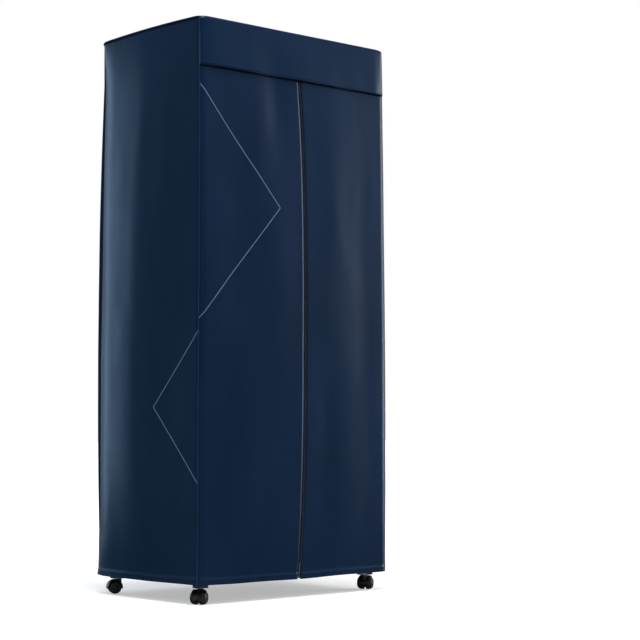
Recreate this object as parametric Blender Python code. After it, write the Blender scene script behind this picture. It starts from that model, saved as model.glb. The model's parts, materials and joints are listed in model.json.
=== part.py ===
"""Portable clothes dryer: a tube frame on castors, a fan heater on its lowest rails, a zipped fabric cover.

Metres. X is the width, the front faces -Y, the floor is Z = 0. Every piece is its own object.
"""

import math

import bmesh
import bpy
from mathutils import Matrix, Vector

# Overall sizes
COVER_WIDTH = 0.730
COVER_DEPTH = 0.497
OVERALL_HEIGHT = 1.700

# Clearance between pieces that touch, and how far a cutter passes the face that it opens
SEAT_GAP = 0.0003
OVERRUN = 0.002

# Cover
FABRIC = 0.002
CORNER_RADIUS = 0.015
HEM_HEIGHT = 0.056
HEADER_HEIGHT = 0.143
HEADER_PROUD = 0.004
HEADER_TURN = 0.010
HEADER_LAP = 0.006
DOOR_TOP_GAP = 0.0008
SEAM_GAP = 0.0010
FOLD_DEPTH = 0.0035
FOLD_LEAN_SHARE = 0.35
ZIP_WIDTH = 0.0045
ZIP_PROUD = 0.0010
ZIP_OFFSET = 0.008
SLIDER_WIDTH = 0.009
SLIDER_HEIGHT = 0.014
SLIDER_THICKNESS = 0.0022
SLIDER_DROP = 0.004
TAB_WIDTH = 0.0055
TAB_LENGTH = 0.026
TAB_THICKNESS = 0.0011

# Frame
POST_INSET_X = 0.042
POST_INSET_Y = 0.044
LOWEST_BAY = 0.550
POST_DIAMETER = 0.019
POST_WALL = 0.0012
RAIL_DIAMETER = 0.013
RAIL_WALL = 0.0010
SLEEVE_SIZE = 0.037
SLEEVE_HEIGHT = 0.055
SLEEVE_CORNER = 0.008
SLEEVE_WEB = 0.003
BAR_HEIGHT = 0.028
BAR_THICKNESS = 0.028
BAR_SKIN = 0.0024
SOCKET_SPACING = 0.092
SOCKET_BLOCK = 0.020
SOCKET_PAST_POST = 0.006
COLLAR_DIAMETER = 0.018
COLLAR_PROUD = 0.003
RAIL_DROP = 0.0095
LOWEST_RAIL_DROP = 0.0145

# Castors
CASTOR_HEIGHT = 0.0457
CASTOR_TRAIL = 0.012
WHEEL_RADIUS = 0.020
WHEEL_SHOULDER = 0.008
WHEEL_OUTER = 0.0245
WHEEL_INNER = 0.004
AXLE_RADIUS = 0.0035
WEB_HALF = 0.0037
HOOD_GAP = 0.0012
HOOD_SKIN = 0.0022
HOOD_HALF_WIDTH = 0.0205
HOOD_TAPER = 0.0025
EAR_DROP = 0.004
KEEL_RADIUS = 0.0145
BOSS_RADIUS = 0.0095
STEM_RADIUS = 0.0055
STEM_LENGTH = 0.022
# The direction in which each castor trails from its swivel, as the photographed dryer was pushed into place
CASTOR_TRAIL_DEGREES = {"front_left": 213, "front_right": 33, "rear_left": 155, "rear_right": 20}

# Heater
HOUSING_DIAMETER = 0.2235
HOUSING_WALL = 0.0025
HOUSING_STRAIGHT = 0.076
SHOULDER_HEIGHT = 0.040
SHOULDER_EASE_SHARE = 0.07
NECK_DIAMETER = 0.154
OUTLET_HOLE_RADIUS = 0.046
TRAY_LIP = 0.00225
TRAY_THICKNESS = 0.0045
TRAY_UPSTAND = 0.003
TRAY_UPSTAND_WALL = 0.002
BOWL_RADIUS = 0.074
BOWL_DEPTH = 0.006
BOWL_FLOOR = 0.0025
SLOT_WIDTH = 0.0035
SLOT_INNER, SLOT_OUTER = 0.030, 0.064
CLIP_WIDTH = 0.050
CLIP_WALL = 0.0035
CLIP_BELOW_RAIL = 0.004
PEDESTAL_RADIUS = 0.018
PEDESTAL_HEIGHT = 0.014
MOTOR_RADIUS = 0.026
MOTOR_HEIGHT = 0.034
MOTOR_NOSE_RADIUS = 0.011
MOTOR_NOSE_HEIGHT = 0.003
SHAFT_RADIUS = 0.003
SHAFT_HEIGHT = 0.020
HUB_RADIUS = 0.021
HUB_HEIGHT = 0.015
BLADE_REACH = 0.074
BLADE_CHORD = 0.030
BLADE_THICKNESS = 0.0018
ROOT_CHORD_SHARE = 0.45
BLADE_PITCH_DEGREES = 28
TOWER_HEIGHT = 0.054
TOWER_FOOT_RADIUS = 0.059
TOWER_WAIST_RADIUS = 0.0495
TOWER_WALL = 0.003
TOWER_RING = 0.005
TOWER_LEDGE_RADIUS = 0.041
WINDOW_FOOT_WIDTH = 0.068
WINDOW_HEAD_WIDTH = 0.052
BRIM_RADIUS = 0.074
BRIM_THICKNESS = 0.0032
BRIM_EDGE = 0.0014
DOME_RADIUS = 0.046
DOME_HEIGHT = 0.009
SPIGOT_HEIGHT = 0.004
SPIGOT_WALL = 0.002
ELEMENT_RADIUS = 0.0335
ELEMENT_CORE_RADIUS = 0.012
ELEMENT_CORE_WALL = 0.002
ELEMENT_FIN = 0.0016
ELEMENT_FLANGE_RADIUS = 0.0445
ELEMENT_FLANGE_BORE_RADIUS = 0.0325
ELEMENT_FLANGE = 0.0016
LAMP_RADIUS = 0.0032
LAMP_REACH = 0.0385
PANEL_WIDTH = 0.063
PANEL_STRAIGHT = 0.0255
PANEL_THICKNESS = 0.0025
PANEL_LIFT = 0.0008
KEY_RADIUS = 0.0045
KEY_SPACING = 0.030
KEY_LEVEL = 0.010
KEY_ROUND = 0.0003
KEY_FLANGE = 0.0010
KEY_FLANGE_EDGE = 0.0015
KEY_WINDOW_HEIGHT = 0.017
KEY_WINDOW_MARGIN = 0.004
GLAND_RADIUS = 0.008
GLAND_BORE_RADIUS = 0.0035
GLAND_PROUD = 0.004
GLAND_LEVEL = 0.018

# Facets: how many sides or steps round shapes get, and how many rows and columns the hung cloth has
POST_SIDES, RAIL_SIDES, COLLAR_SIDES = 12, 8, 8
WHEEL_SIDES, HOOD_SIDES, BOSS_SIDES = 16, 20, 10
HEATER_SIDES, TOWER_SIDES, SMALL_SIDES = 32, 24, 10
CORNER_STEPS, CURVE_STEPS, ARCH_STEPS, CORNER_TURNS = 2, 3, 12, 3
SIDE_STEPS, BACK_STEPS, DOOR_STEPS, HEADER_STEPS, TALL_ROWS = 8, 8, 6, 4, 7
SHARP_ANGLE = math.radians(35)

# How many of each
SIDE_FOLDS, BACK_FOLDS, DOOR_FOLDS = 3, 4, 2
SLOT_COUNT, BLADE_COUNT, FIN_COUNT, WINDOW_COUNT = 12, 7, 20, 4

# Worked out from the sizes above
POST_X = COVER_WIDTH / 2 - POST_INSET_X
POST_Y = COVER_DEPTH / 2 - POST_INSET_Y
LOWEST_TOP = CASTOR_HEIGHT + SEAT_GAP + SLEEVE_HEIGHT
FRAME_TOP = OVERALL_HEIGHT - FABRIC - SEAT_GAP
UPPER_BAY = (FRAME_TOP - LOWEST_TOP - LOWEST_BAY) / 2
LEVELS = {
    "lowest": LOWEST_TOP,
    "lower": LOWEST_TOP + LOWEST_BAY,
    "upper": LOWEST_TOP + LOWEST_BAY + UPPER_BAY,
    "top": FRAME_TOP,
}
SOCKETS = [SOCKET_SPACING * place for place in (-1.5, -0.5, 0.5, 1.5)]
RAIL_HALF = POST_X + SOCKET_PAST_POST - SEAT_GAP
WHEEL_FLAT = WHEEL_RADIUS * math.cos(math.pi / WHEEL_SIDES)
HEATER_RAILS = (SOCKETS[1], SOCKETS[3])
HEATER_Y = sum(HEATER_RAILS) / 2
RAIL_REACH = (HEATER_RAILS[1] - HEATER_RAILS[0]) / 2
HEATER_SEAT = LOWEST_TOP - LOWEST_RAIL_DROP + RAIL_DIAMETER / 2 + SEAT_GAP
COVER_TOP = OVERALL_HEIGHT - FABRIC - SEAT_GAP
HEADER_BOTTOM = OVERALL_HEIGHT - HEADER_HEIGHT
DOOR_TOP = HEADER_BOTTOM - DOOR_TOP_GAP
HINGE_X = COVER_WIDTH / 2 - CORNER_RADIUS - SEAM_GAP
TOWER_LEDGE = TOWER_RING / 2
# A key's flange lies behind the panel, which curves away from it, so this is how deep a key is
KEY_FRONT = HOUSING_DIAMETER / 2 + SEAT_GAP + PANEL_THICKNESS
KEY_FAR_EDGE = KEY_SPACING / 2 + KEY_RADIUS + KEY_FLANGE_EDGE
KEY_DEPTH = KEY_FRONT - math.sqrt((HOUSING_DIAMETER / 2) ** 2 - KEY_FAR_EDGE**2) + SEAT_GAP * 2 + KEY_FLANGE


def clear_scene():
    for obj in list(bpy.data.objects):
        bpy.data.objects.remove(obj)


def finish(name, colour, roughness, metallic=0.0):
    material = bpy.data.materials.new(name)
    material.use_nodes = True
    shader = material.node_tree.nodes["Principled BSDF"]
    shader.inputs["Base Color"].default_value = (*colour, 1)
    shader.inputs["Roughness"].default_value = roughness
    shader.inputs["Metallic"].default_value = metallic
    material.diffuse_color = (*colour, 1)
    return material


def body_empty(name, location=(0, 0, 0), parent=None, turn=0):
    """An empty on a joint's axis: what hangs from it moves as one body."""
    empty = bpy.data.objects.new(name, None)
    bpy.context.scene.collection.objects.link(empty)
    empty.parent = parent
    empty.location = location
    empty.rotation_euler.z = turn
    return empty


def add_piece(name, shape, material, parent, location=(0, 0, 0)):
    """Makes the bmesh an object with its own material, shaded smooth between its sharp edges."""
    mesh = bpy.data.meshes.new(name)
    shape.to_mesh(mesh)
    shape.free()
    mesh.shade_smooth()
    mesh.set_sharp_from_angle(angle=SHARP_ANGLE)
    mesh.materials.append(material)
    piece = bpy.data.objects.new(name, mesh)
    bpy.context.scene.collection.objects.link(piece)
    piece.parent = parent
    piece.location = location
    return piece


def closed(shape):
    bmesh.ops.remove_doubles(shape, verts=shape.verts, dist=SEAT_GAP / 100)
    bmesh.ops.recalc_face_normals(shape, faces=shape.faces)
    return shape


def prism(outline, bottom, top):
    """An outline of (x, y) points, carried from one height to another."""
    shape = bmesh.new()
    face = shape.faces.new([shape.verts.new((x, y, bottom)) for x, y in outline])
    swept = bmesh.ops.extrude_face_region(shape, geom=[face])["geom"]
    risen = [item for item in swept if isinstance(item, bmesh.types.BMVert)]
    bmesh.ops.translate(shape, verts=risen, vec=(0, 0, top - bottom))
    return closed(shape)


def block(low, high):
    corners = [(low[0], low[1]), (high[0], low[1]), (high[0], high[1]), (low[0], high[1])]
    return prism(corners, low[2], high[2])


def lathe(profile, sides, looped=False, half_step=False):
    """A profile of (radius, height) points turned about Z. A looped one is a ring; others end on the axis."""
    shape = bmesh.new()
    points = [shape.verts.new((radius, 0, height)) for radius, height in profile]
    pairs = list(zip(points, points[1:] + points[:1]))
    edges = [shape.edges.new(pair) for pair in (pairs if looped else pairs[:-1])]
    if half_step:
        turn = Matrix.Rotation(math.pi / sides, 3, "Z")
        bmesh.ops.rotate(shape, verts=points, cent=(0, 0, 0), matrix=turn)
    bmesh.ops.spin(
        shape,
        geom=points + edges,
        cent=(0, 0, 0),
        axis=(0, 0, 1),
        angle=2 * math.pi,
        steps=sides,
        use_merge=True,
    )
    return closed(shape)


def drum(radius, bottom, top, sides, bore=0):
    if bore:
        return lathe([(bore, bottom), (radius, bottom), (radius, top), (bore, top)], sides, looped=True)
    return lathe([(0, bottom), (radius, bottom), (radius, top), (0, top)], sides)


def turned(shape, degrees, axis):
    matrix = Matrix.Rotation(math.radians(degrees), 3, axis)
    bmesh.ops.rotate(shape, verts=shape.verts, cent=(0, 0, 0), matrix=matrix)
    return shape


def moved(shape, x=0, y=0, z=0):
    bmesh.ops.translate(shape, verts=shape.verts, vec=(x, y, z))
    return shape


def together(*shapes):
    """Several separate bodies in one bmesh, for one Boolean."""
    first, *others = shapes
    for other in others:
        mesh = bpy.data.meshes.new("passing")
        other.to_mesh(mesh)
        other.free()
        first.from_mesh(mesh)
        bpy.data.meshes.remove(mesh)
    return first


def holder_of(shape):
    holder = bpy.data.objects.new("holder", bpy.data.meshes.new("holder"))
    shape.to_mesh(holder.data)
    shape.free()
    bpy.context.scene.collection.objects.link(holder)
    return holder


def combined(shape, other, operation):
    """The Boolean of two shapes: UNION, DIFFERENCE or INTERSECT."""
    holders = [holder_of(shape), holder_of(other)]
    modifier = holders[0].modifiers.new("Combine", "BOOLEAN")
    modifier.operation = operation
    modifier.object = holders[1]
    result = bmesh.new()
    result.from_object(holders[0], bpy.context.evaluated_depsgraph_get())
    for holder in holders:
        mesh = holder.data
        bpy.data.objects.remove(holder)
        bpy.data.meshes.remove(mesh)
    bmesh.ops.remove_doubles(result, verts=result.verts, dist=SEAT_GAP / 100)
    return result


def arc(centre, radius, start, end, steps):
    """Points along an arc between two angles in degrees, both ends included."""
    angles = [math.radians(start + (end - start) * i / steps) for i in range(steps + 1)]
    return [(centre[0] + radius * math.cos(a), centre[1] + radius * math.sin(a)) for a in angles]


def rounded_rectangle(width, depth, radius, steps):
    x, y = width / 2 - radius, depth / 2 - radius
    outline = []
    for corner, start in (((x, y), 0), ((-x, y), 90), ((-x, -y), 180), ((x, -y), 270)):
        outline += arc(corner, radius, start, start + 90, steps)
    return outline


# Frame: side brackets, posts and rails


def sleeve(y):
    """One post sleeve of a bracket, hanging below the bracket's top."""
    outline = rounded_rectangle(SLEEVE_SIZE, SLEEVE_SIZE, SLEEVE_CORNER, CORNER_STEPS)
    return moved(prism(outline, -SLEEVE_HEIGHT, 0), y=y)


def bracket_shape(level, inward):
    """Two sleeves joined by a bar that is hollow from below, with a block and a collar at each socket."""
    bar_end = POST_Y - SLEEVE_SIZE / 2 + BAR_SKIN
    drop = LOWEST_RAIL_DROP if level == "lowest" else RAIL_DROP
    bar = block((-BAR_THICKNESS / 2, -bar_end, -BAR_HEIGHT), (BAR_THICKNESS / 2, bar_end, -BAR_SKIN / 2))
    face = BAR_THICKNESS / 2 + COLLAR_PROUD
    collars = [
        moved(turned(drum(COLLAR_DIAMETER / 2, 0, face, COLLAR_SIDES), 90 * inward, "Y"), y=y, z=-drop)
        for y in SOCKETS
    ]
    shape = combined(bar, together(sleeve(-POST_Y), sleeve(POST_Y), *collars), "UNION")

    reach = max(face, SLEEVE_SIZE / 2) + OVERRUN
    places = [(y, face + OVERRUN) for y in SOCKETS] + ([(POST_Y, reach)] if level == "top" else [])
    cutters = []
    for y, mouth in places:
        socket = drum(RAIL_DIAMETER / 2 + SEAT_GAP, -SOCKET_PAST_POST, mouth, RAIL_SIDES)
        cutters.append(moved(turned(socket, 90 * inward, "Y"), y=y, z=-drop))
    post_bore = POST_DIAMETER / 2 + SEAT_GAP
    middle = -SLEEVE_HEIGHT / 2
    for y in (-POST_Y, POST_Y):
        if level != "top":
            cutters.append(moved(drum(post_bore, middle + SLEEVE_WEB / 2, OVERRUN, POST_SIDES), y=y))
        if level == "lowest":
            roof = -SLEEVE_HEIGHT + STEM_LENGTH + SEAT_GAP
            stem_bore = drum(STEM_RADIUS + SEAT_GAP, -SLEEVE_HEIGHT - OVERRUN, roof, BOSS_SIDES)
            cutters.append(moved(stem_bore, y=y))
        else:
            roof = middle - SLEEVE_WEB / 2
            cutters.append(moved(drum(post_bore, -SLEEVE_HEIGHT - OVERRUN, roof, POST_SIDES), y=y))
    edge = POST_Y - SLEEVE_SIZE / 2
    walls = [-edge] + [y + side * SOCKET_BLOCK / 2 for y in SOCKETS for side in (-1, 1)] + [edge]
    half = BAR_THICKNESS / 2 - BAR_SKIN
    for start, end in zip(walls[::2], walls[1::2]):
        start += BAR_SKIN if start == -edge else 0
        end -= BAR_SKIN if end == edge else 0
        cutters.append(block((-half, start, -BAR_HEIGHT - OVERRUN), (half, end, -BAR_SKIN - BAR_SKIN / 2)))
    return combined(shape, together(*cutters), "DIFFERENCE")


def add_brackets(frame, plastic):
    for level, top in LEVELS.items():
        for side, inward in (("left", 1), ("right", -1)):
            place = (-inward * POST_X, 0, top)
            add_piece(f"bracket_{level}_{side}", bracket_shape(level, inward), plastic, frame, place)


def add_posts(frame, chrome):
    stop = SLEEVE_HEIGHT / 2 - SLEEVE_WEB / 2 - SEAT_GAP
    names = list(LEVELS)
    for below, above, bay in zip(names, names[1:], ("low", "middle", "high")):
        bottom = LEVELS[below] - stop
        top = LEVELS[above] - SLEEVE_HEIGHT / 2 - SLEEVE_WEB / 2 - SEAT_GAP
        for front, y in (("front", -POST_Y), ("rear", POST_Y)):
            for side, x in (("left", -POST_X), ("right", POST_X)):
                tube = drum(POST_DIAMETER / 2, 0, top - bottom, POST_SIDES, POST_DIAMETER / 2 - POST_WALL)
                add_piece(f"post_{bay}_{front}_{side}", tube, chrome, frame, (x, y, bottom))


def add_rails(frame, chrome):
    """Rails lie across the width. The top level has a crossbar in its rear sleeves, for stiffness."""
    numbered = [(f"{place}", y) for place, y in enumerate(SOCKETS, 1)]
    rails = {
        "lowest": [("front", HEATER_RAILS[0]), ("rear", HEATER_RAILS[1])],
        "lower": numbered,
        "upper": numbered,
        "top": [("front", SOCKETS[0]), ("rear", SOCKETS[3]), ("crossbar", POST_Y)],
    }
    for level, places in rails.items():
        height = LEVELS[level] - (LOWEST_RAIL_DROP if level == "lowest" else RAIL_DROP)
        for name, y in places:
            bore = RAIL_DIAMETER / 2 - RAIL_WALL
            tube = turned(drum(RAIL_DIAMETER / 2, -RAIL_HALF, RAIL_HALF, RAIL_SIDES, bore), 90, "Y")
            add_piece(f"rail_{level}_{name}", tube, chrome, frame, (0, y, height))


# Castors: hoods that swivel, and pairs of wheels on one axle


def hood_shape():
    """An arched hood over both wheels, a web and keel between them, a boss and a stem for the bracket."""
    outer = WHEEL_RADIUS + HOOD_GAP + HOOD_SKIN
    edge = HOOD_HALF_WIDTH - 2 * HOOD_TAPER
    half = [(0, HOOD_HALF_WIDTH), (outer - HOOD_TAPER, HOOD_HALF_WIDTH), (outer, edge)]
    profile = half + [(radius, -height) for radius, height in reversed(half)]
    arch = turned(lathe(profile, HOOD_SIDES), 90, "X")
    below = block((-2 * outer, -2 * outer, -2 * outer), (2 * outer, 2 * outer, -EAR_DROP))
    arch = combined(arch, below, "DIFFERENCE")
    keel = turned(drum(KEEL_RADIUS, -WEB_HALF, WEB_HALF, WHEEL_SIDES), 90, "X")
    hood = moved(combined(arch, keel, "UNION"), x=-CASTOR_TRAIL, z=WHEEL_FLAT)
    boss_foot = WHEEL_FLAT - EAR_DROP / 2
    stem_top = CASTOR_HEIGHT + STEM_LENGTH
    boss = [(0, boss_foot), (BOSS_RADIUS, boss_foot), (BOSS_RADIUS, CASTOR_HEIGHT)]
    stem = [(STEM_RADIUS, CASTOR_HEIGHT), (STEM_RADIUS, stem_top), (0, stem_top)]
    shape = combined(hood, lathe(boss + stem, BOSS_SIDES), "UNION")
    wells = []
    for side in (-1, 1):
        low, high = sorted((side * WEB_HALF, side * (HOOD_HALF_WIDTH + OVERRUN)))
        wells.append(drum(WHEEL_RADIUS + HOOD_GAP, low, high, WHEEL_SIDES))
    axle_bore = drum(AXLE_RADIUS + SEAT_GAP, -WEB_HALF - OVERRUN, WEB_HALF + OVERRUN, SMALL_SIDES)
    for cutter in (together(*wells), axle_bore):
        shape = combined(shape, moved(turned(cutter, 90, "X"), x=-CASTOR_TRAIL, z=WHEEL_FLAT), "DIFFERENCE")
    return shape


def wheels_shape():
    """Both wheels and their axle, turned about the axle, with a flat of the tread on the floor."""
    half = [
        (0, WHEEL_OUTER),
        (WHEEL_RADIUS - WHEEL_SHOULDER, WHEEL_OUTER),
        (WHEEL_RADIUS - WHEEL_SHOULDER / 4, WHEEL_OUTER - WHEEL_SHOULDER / 2),
        (WHEEL_RADIUS, WHEEL_OUTER - WHEEL_SHOULDER - WHEEL_SHOULDER / 2),
        (WHEEL_RADIUS, WHEEL_INNER),
        (AXLE_RADIUS, WHEEL_INNER),
    ]
    profile = half + [(radius, -height) for radius, height in reversed(half)]
    return turned(lathe(profile, WHEEL_SIDES, half_step=True), 90, "X")


def add_castors(frame, black):
    for corner, degrees in CASTOR_TRAIL_DEGREES.items():
        x = POST_X if corner.endswith("right") else -POST_X
        y = POST_Y if corner.startswith("rear") else -POST_Y
        swivel = body_empty(f"swivel_{corner}", (x, y, 0), frame, math.radians(degrees + 180))
        add_piece(f"castor_hood_{corner}", hood_shape(), black, swivel)
        add_piece(f"castor_wheels_{corner}", wheels_shape(), black, swivel, (-CASTOR_TRAIL, 0, WHEEL_FLAT))


# Heater


def tray_shape():
    """A round tray: a slotted bowl between the rails, an upstand in the housing, a clip over each rail."""
    rim, bowl = HOUSING_DIAMETER / 2 + TRAY_LIP, BOWL_RADIUS
    inside = HOUSING_DIAMETER / 2 - HOUSING_WALL - SEAT_GAP
    floor = -BOWL_DEPTH + BOWL_FLOOR
    top = TRAY_THICKNESS + SEAT_GAP
    profile = [
        (0, -BOWL_DEPTH), (bowl - BOWL_DEPTH, -BOWL_DEPTH), (bowl, 0), (rim - TRAY_THICKNESS / 4, 0),
        (rim, TRAY_THICKNESS / 2), (rim, TRAY_THICKNESS), (inside, TRAY_THICKNESS),
        (inside, top + TRAY_UPSTAND), (inside - TRAY_UPSTAND_WALL, top + TRAY_UPSTAND),
        (inside - TRAY_UPSTAND_WALL, BOWL_FLOOR), (bowl, BOWL_FLOOR), (bowl - BOWL_DEPTH, floor),
        (PEDESTAL_RADIUS, floor), (PEDESTAL_RADIUS, floor + PEDESTAL_HEIGHT), (0, floor + PEDESTAL_HEIGHT),
    ]
    shape = lathe(profile, HEATER_SIDES)
    gap = RAIL_DIAMETER / 2 + SEAT_GAP
    low = -RAIL_DIAMETER - CLIP_BELOW_RAIL
    for side in (-1, 1):
        near, far = sorted((side * (RAIL_REACH - gap - CLIP_WALL), side * (RAIL_REACH + gap + CLIP_WALL)))
        clip = block((-CLIP_WIDTH / 2, near, low), (CLIP_WIDTH / 2, far, TRAY_THICKNESS - BOWL_FLOOR / 2))
        shape = combined(shape, clip, "UNION")
        rail = side * RAIL_REACH
        way = block((-CLIP_WIDTH, rail - gap, low - OVERRUN), (CLIP_WIDTH, rail + gap, 0))
        shape = combined(shape, way, "DIFFERENCE")
    slots = []
    for i in range(SLOT_COUNT):
        below, above = -BOWL_DEPTH - OVERRUN, floor + OVERRUN
        slot = block((SLOT_INNER, -SLOT_WIDTH / 2, below), (SLOT_OUTER, SLOT_WIDTH / 2, above))
        slots.append(turned(slot, 360 * i / SLOT_COUNT, "Z"))
    return combined(shape, together(*slots), "DIFFERENCE")


def housing_shape():
    """The white shell: straight side, curved shoulder, neck with the outlet hole, key window, cord gland."""
    outer, neck = HOUSING_DIAMETER / 2, NECK_DIAMETER / 2
    top = HOUSING_STRAIGHT + SHOULDER_HEIGHT
    wall = HOUSING_WALL
    shoulder = []
    for i in range(1, CURVE_STEPS):
        share = i / CURVE_STEPS
        sweep = share - math.sin(2 * math.pi * share) * SHOULDER_EASE_SHARE
        shoulder.append((outer + (neck - outer) * sweep, HOUSING_STRAIGHT + SHOULDER_HEIGHT * share))
    outside = [(outer, 0), (outer, HOUSING_STRAIGHT), *shoulder, (neck, top - wall / 2), (neck - wall, top)]
    inside = [(neck - wall, top - wall)] + [(r - wall, z - wall / 2) for r, z in reversed(shoulder)]
    inside += [(outer - wall, HOUSING_STRAIGHT - wall / 2), (outer - wall, 0)]
    hole = [(OUTLET_HOLE_RADIUS, top), (OUTLET_HOLE_RADIUS, top - wall)]
    shape = lathe(outside + hole + inside, HEATER_SIDES, looped=True)
    collar = turned(drum(GLAND_RADIUS, -wall, GLAND_PROUD, SMALL_SIDES), -90, "X")
    shape = combined(shape, moved(collar, y=outer, z=GLAND_LEVEL), "UNION")
    bore = turned(drum(GLAND_BORE_RADIUS, -wall - OVERRUN, GLAND_PROUD + OVERRUN, SMALL_SIDES), -90, "X")
    half = KEY_SPACING / 2 + KEY_RADIUS + KEY_WINDOW_MARGIN
    low = KEY_LEVEL - KEY_WINDOW_HEIGHT / 2
    window = block((-half, -outer - OVERRUN, low), (half, -outer / 2, low + KEY_WINDOW_HEIGHT))
    return combined(shape, together(moved(bore, y=outer, z=GLAND_LEVEL), window), "DIFFERENCE")


def panel_shape():
    """An arch-topped plate bent round the housing, with a hole for each key."""
    half, inner = PANEL_WIDTH / 2, HOUSING_DIAMETER / 2 + SEAT_GAP
    outline = [(-half, PANEL_LIFT), (half, PANEL_LIFT), *arc((0, PANEL_STRAIGHT), half, 0, 180, ARCH_STEPS)]
    arch = turned(prism(outline, HOUSING_DIAMETER / 4, HOUSING_DIAMETER), 90, "X")
    skin = drum(inner + PANEL_THICKNESS, -OVERRUN, HOUSING_DIAMETER, HEATER_SIDES * 2, inner)
    shape = combined(skin, arch, "INTERSECT")
    holes = []
    for x in (-KEY_SPACING / 2, KEY_SPACING / 2):
        hole = turned(drum(KEY_RADIUS + SEAT_GAP, 0, HOUSING_DIAMETER, SMALL_SIDES), 90, "X")
        holes.append(moved(hole, x=x, z=KEY_LEVEL))
    return combined(shape, together(*holes), "DIFFERENCE")


def key_shape():
    """A key with the flange that keeps it behind the panel. Its front is at Y = 0 before it is placed."""
    edge = KEY_RADIUS + KEY_FLANGE_EDGE
    flange = [(0, -KEY_DEPTH), (edge, -KEY_DEPTH), (edge, KEY_FLANGE - KEY_DEPTH)]
    foot = KEY_FLANGE - KEY_DEPTH
    button = [(KEY_RADIUS, foot), (KEY_RADIUS, -KEY_ROUND), (KEY_RADIUS - KEY_ROUND, 0), (0, 0)]
    return turned(lathe(flange + button, SMALL_SIDES), 90, "X")


def motor_shape():
    nose = MOTOR_HEIGHT + MOTOR_NOSE_HEIGHT
    can = [(0, 0), (MOTOR_RADIUS, 0), (MOTOR_RADIUS, MOTOR_HEIGHT), (MOTOR_NOSE_RADIUS, MOTOR_HEIGHT)]
    shaft = [(SHAFT_RADIUS, nose), (SHAFT_RADIUS, nose + SHAFT_HEIGHT), (0, nose + SHAFT_HEIGHT)]
    return lathe([*can, (MOTOR_NOSE_RADIUS, nose), *shaft], SMALL_SIDES * 2)


def impeller_shape():
    """A hub bored for the shaft, with pitched blades."""
    shape = drum(HUB_RADIUS, 0, HUB_HEIGHT, SMALL_SIDES * 2, SHAFT_RADIUS + SEAT_GAP)
    root, half, tip = HUB_RADIUS - BLADE_THICKNESS, BLADE_THICKNESS / 2, BLADE_CHORD / 2
    narrow = tip * ROOT_CHORD_SHARE
    outline = [(root, -narrow), (BLADE_REACH, -tip), (BLADE_REACH, tip), (root, narrow)]
    for i in range(BLADE_COUNT):
        blade = turned(prism(outline, -half, half), BLADE_PITCH_DEGREES, "X")
        blade = turned(moved(blade, z=HUB_HEIGHT / 2), 360 * i / BLADE_COUNT, "Z")
        shape = combined(shape, blade, "UNION")
    return shape


def tower_wall(height):
    """The tower's outer radius at a height: wide at the foot and drawn in to its waist near the top."""
    share = height / TOWER_HEIGHT
    return TOWER_WAIST_RADIUS + (TOWER_FOOT_RADIUS - TOWER_WAIST_RADIUS) * (1 - share) ** 2


def tower_shape():
    """A waisted tube with a ledge inside its foot and tapered windows all round."""
    heights = [TOWER_HEIGHT * i / CURVE_STEPS for i in range(CURVE_STEPS + 1)]
    outside = [(tower_wall(h), h) for h in heights]
    inside = [(tower_wall(h) - TOWER_WALL, h) for h in reversed(heights[1:])]
    ledge = [(TOWER_LEDGE_RADIUS, TOWER_LEDGE), (TOWER_LEDGE_RADIUS, 0)]
    inside.append((tower_wall(TOWER_LEDGE) - TOWER_WALL, TOWER_LEDGE))
    shape = lathe(outside + inside + ledge, TOWER_SIDES, looped=True)
    foot, head = WINDOW_FOOT_WIDTH / 2, WINDOW_HEAD_WIDTH / 2
    low, high = TOWER_RING, TOWER_HEIGHT - TOWER_RING - SPIGOT_HEIGHT
    outline = [(-foot, low), (foot, low), (head, high), (-head, high)]
    for i in range(WINDOW_COUNT):
        window = turned(prism(outline, TOWER_LEDGE_RADIUS / 2, TOWER_FOOT_RADIUS * 2), 90, "X")
        shape = combined(shape, turned(window, 360 * i / WINDOW_COUNT, "Z"), "DIFFERENCE")
    return shape


def cap_shape():
    """A thin brim with a shallow dome above it and a hollow spigot that drops inside the tower's top."""
    fit = (TOWER_WAIST_RADIUS - TOWER_WALL) * math.cos(math.pi / TOWER_SIDES) - SEAT_GAP
    rise = [math.radians(90 * i / CURVE_STEPS) for i in range(CURVE_STEPS)]
    dome = [(DOME_RADIUS * math.cos(a), BRIM_THICKNESS + DOME_HEIGHT * math.sin(a)) for a in rise]
    bore = fit - SPIGOT_WALL
    spigot = [(0, 0), (bore, 0), (bore, -SPIGOT_HEIGHT), (fit, -SPIGOT_HEIGHT), (fit, 0)]
    brim = [(BRIM_RADIUS, BRIM_THICKNESS - BRIM_EDGE), (BRIM_RADIUS, BRIM_THICKNESS)]
    return lathe(spigot + brim + dome + [(0, BRIM_THICKNESS + DOME_HEIGHT)], HEATER_SIDES)


def element_shape():
    """The heating element: upright fins round a core tube, on the ring that sits on the tower's ledge."""
    core, reach = ELEMENT_CORE_RADIUS, ELEMENT_RADIUS
    outline = []
    for i in range(FIN_COUNT):
        for radius, side in ((core, -1), (reach, -1), (reach, 1), (core, 1)):
            turn = 2 * math.pi * i / FIN_COUNT + side * ELEMENT_FIN / 2 / radius
            outline.append((radius * math.cos(turn), radius * math.sin(turn)))
    fins = prism(outline, ELEMENT_FLANGE / 2, TOWER_HEIGHT - TOWER_LEDGE - SPIGOT_HEIGHT - SEAT_GAP * 2)
    ring = drum(ELEMENT_FLANGE_RADIUS, 0, ELEMENT_FLANGE, TOWER_SIDES, ELEMENT_FLANGE_BORE_RADIUS)
    bore = drum(ELEMENT_CORE_RADIUS - ELEMENT_CORE_WALL, -OVERRUN, TOWER_HEIGHT, SMALL_SIDES)
    return combined(combined(fins, ring, "UNION"), bore, "DIFFERENCE")


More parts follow.
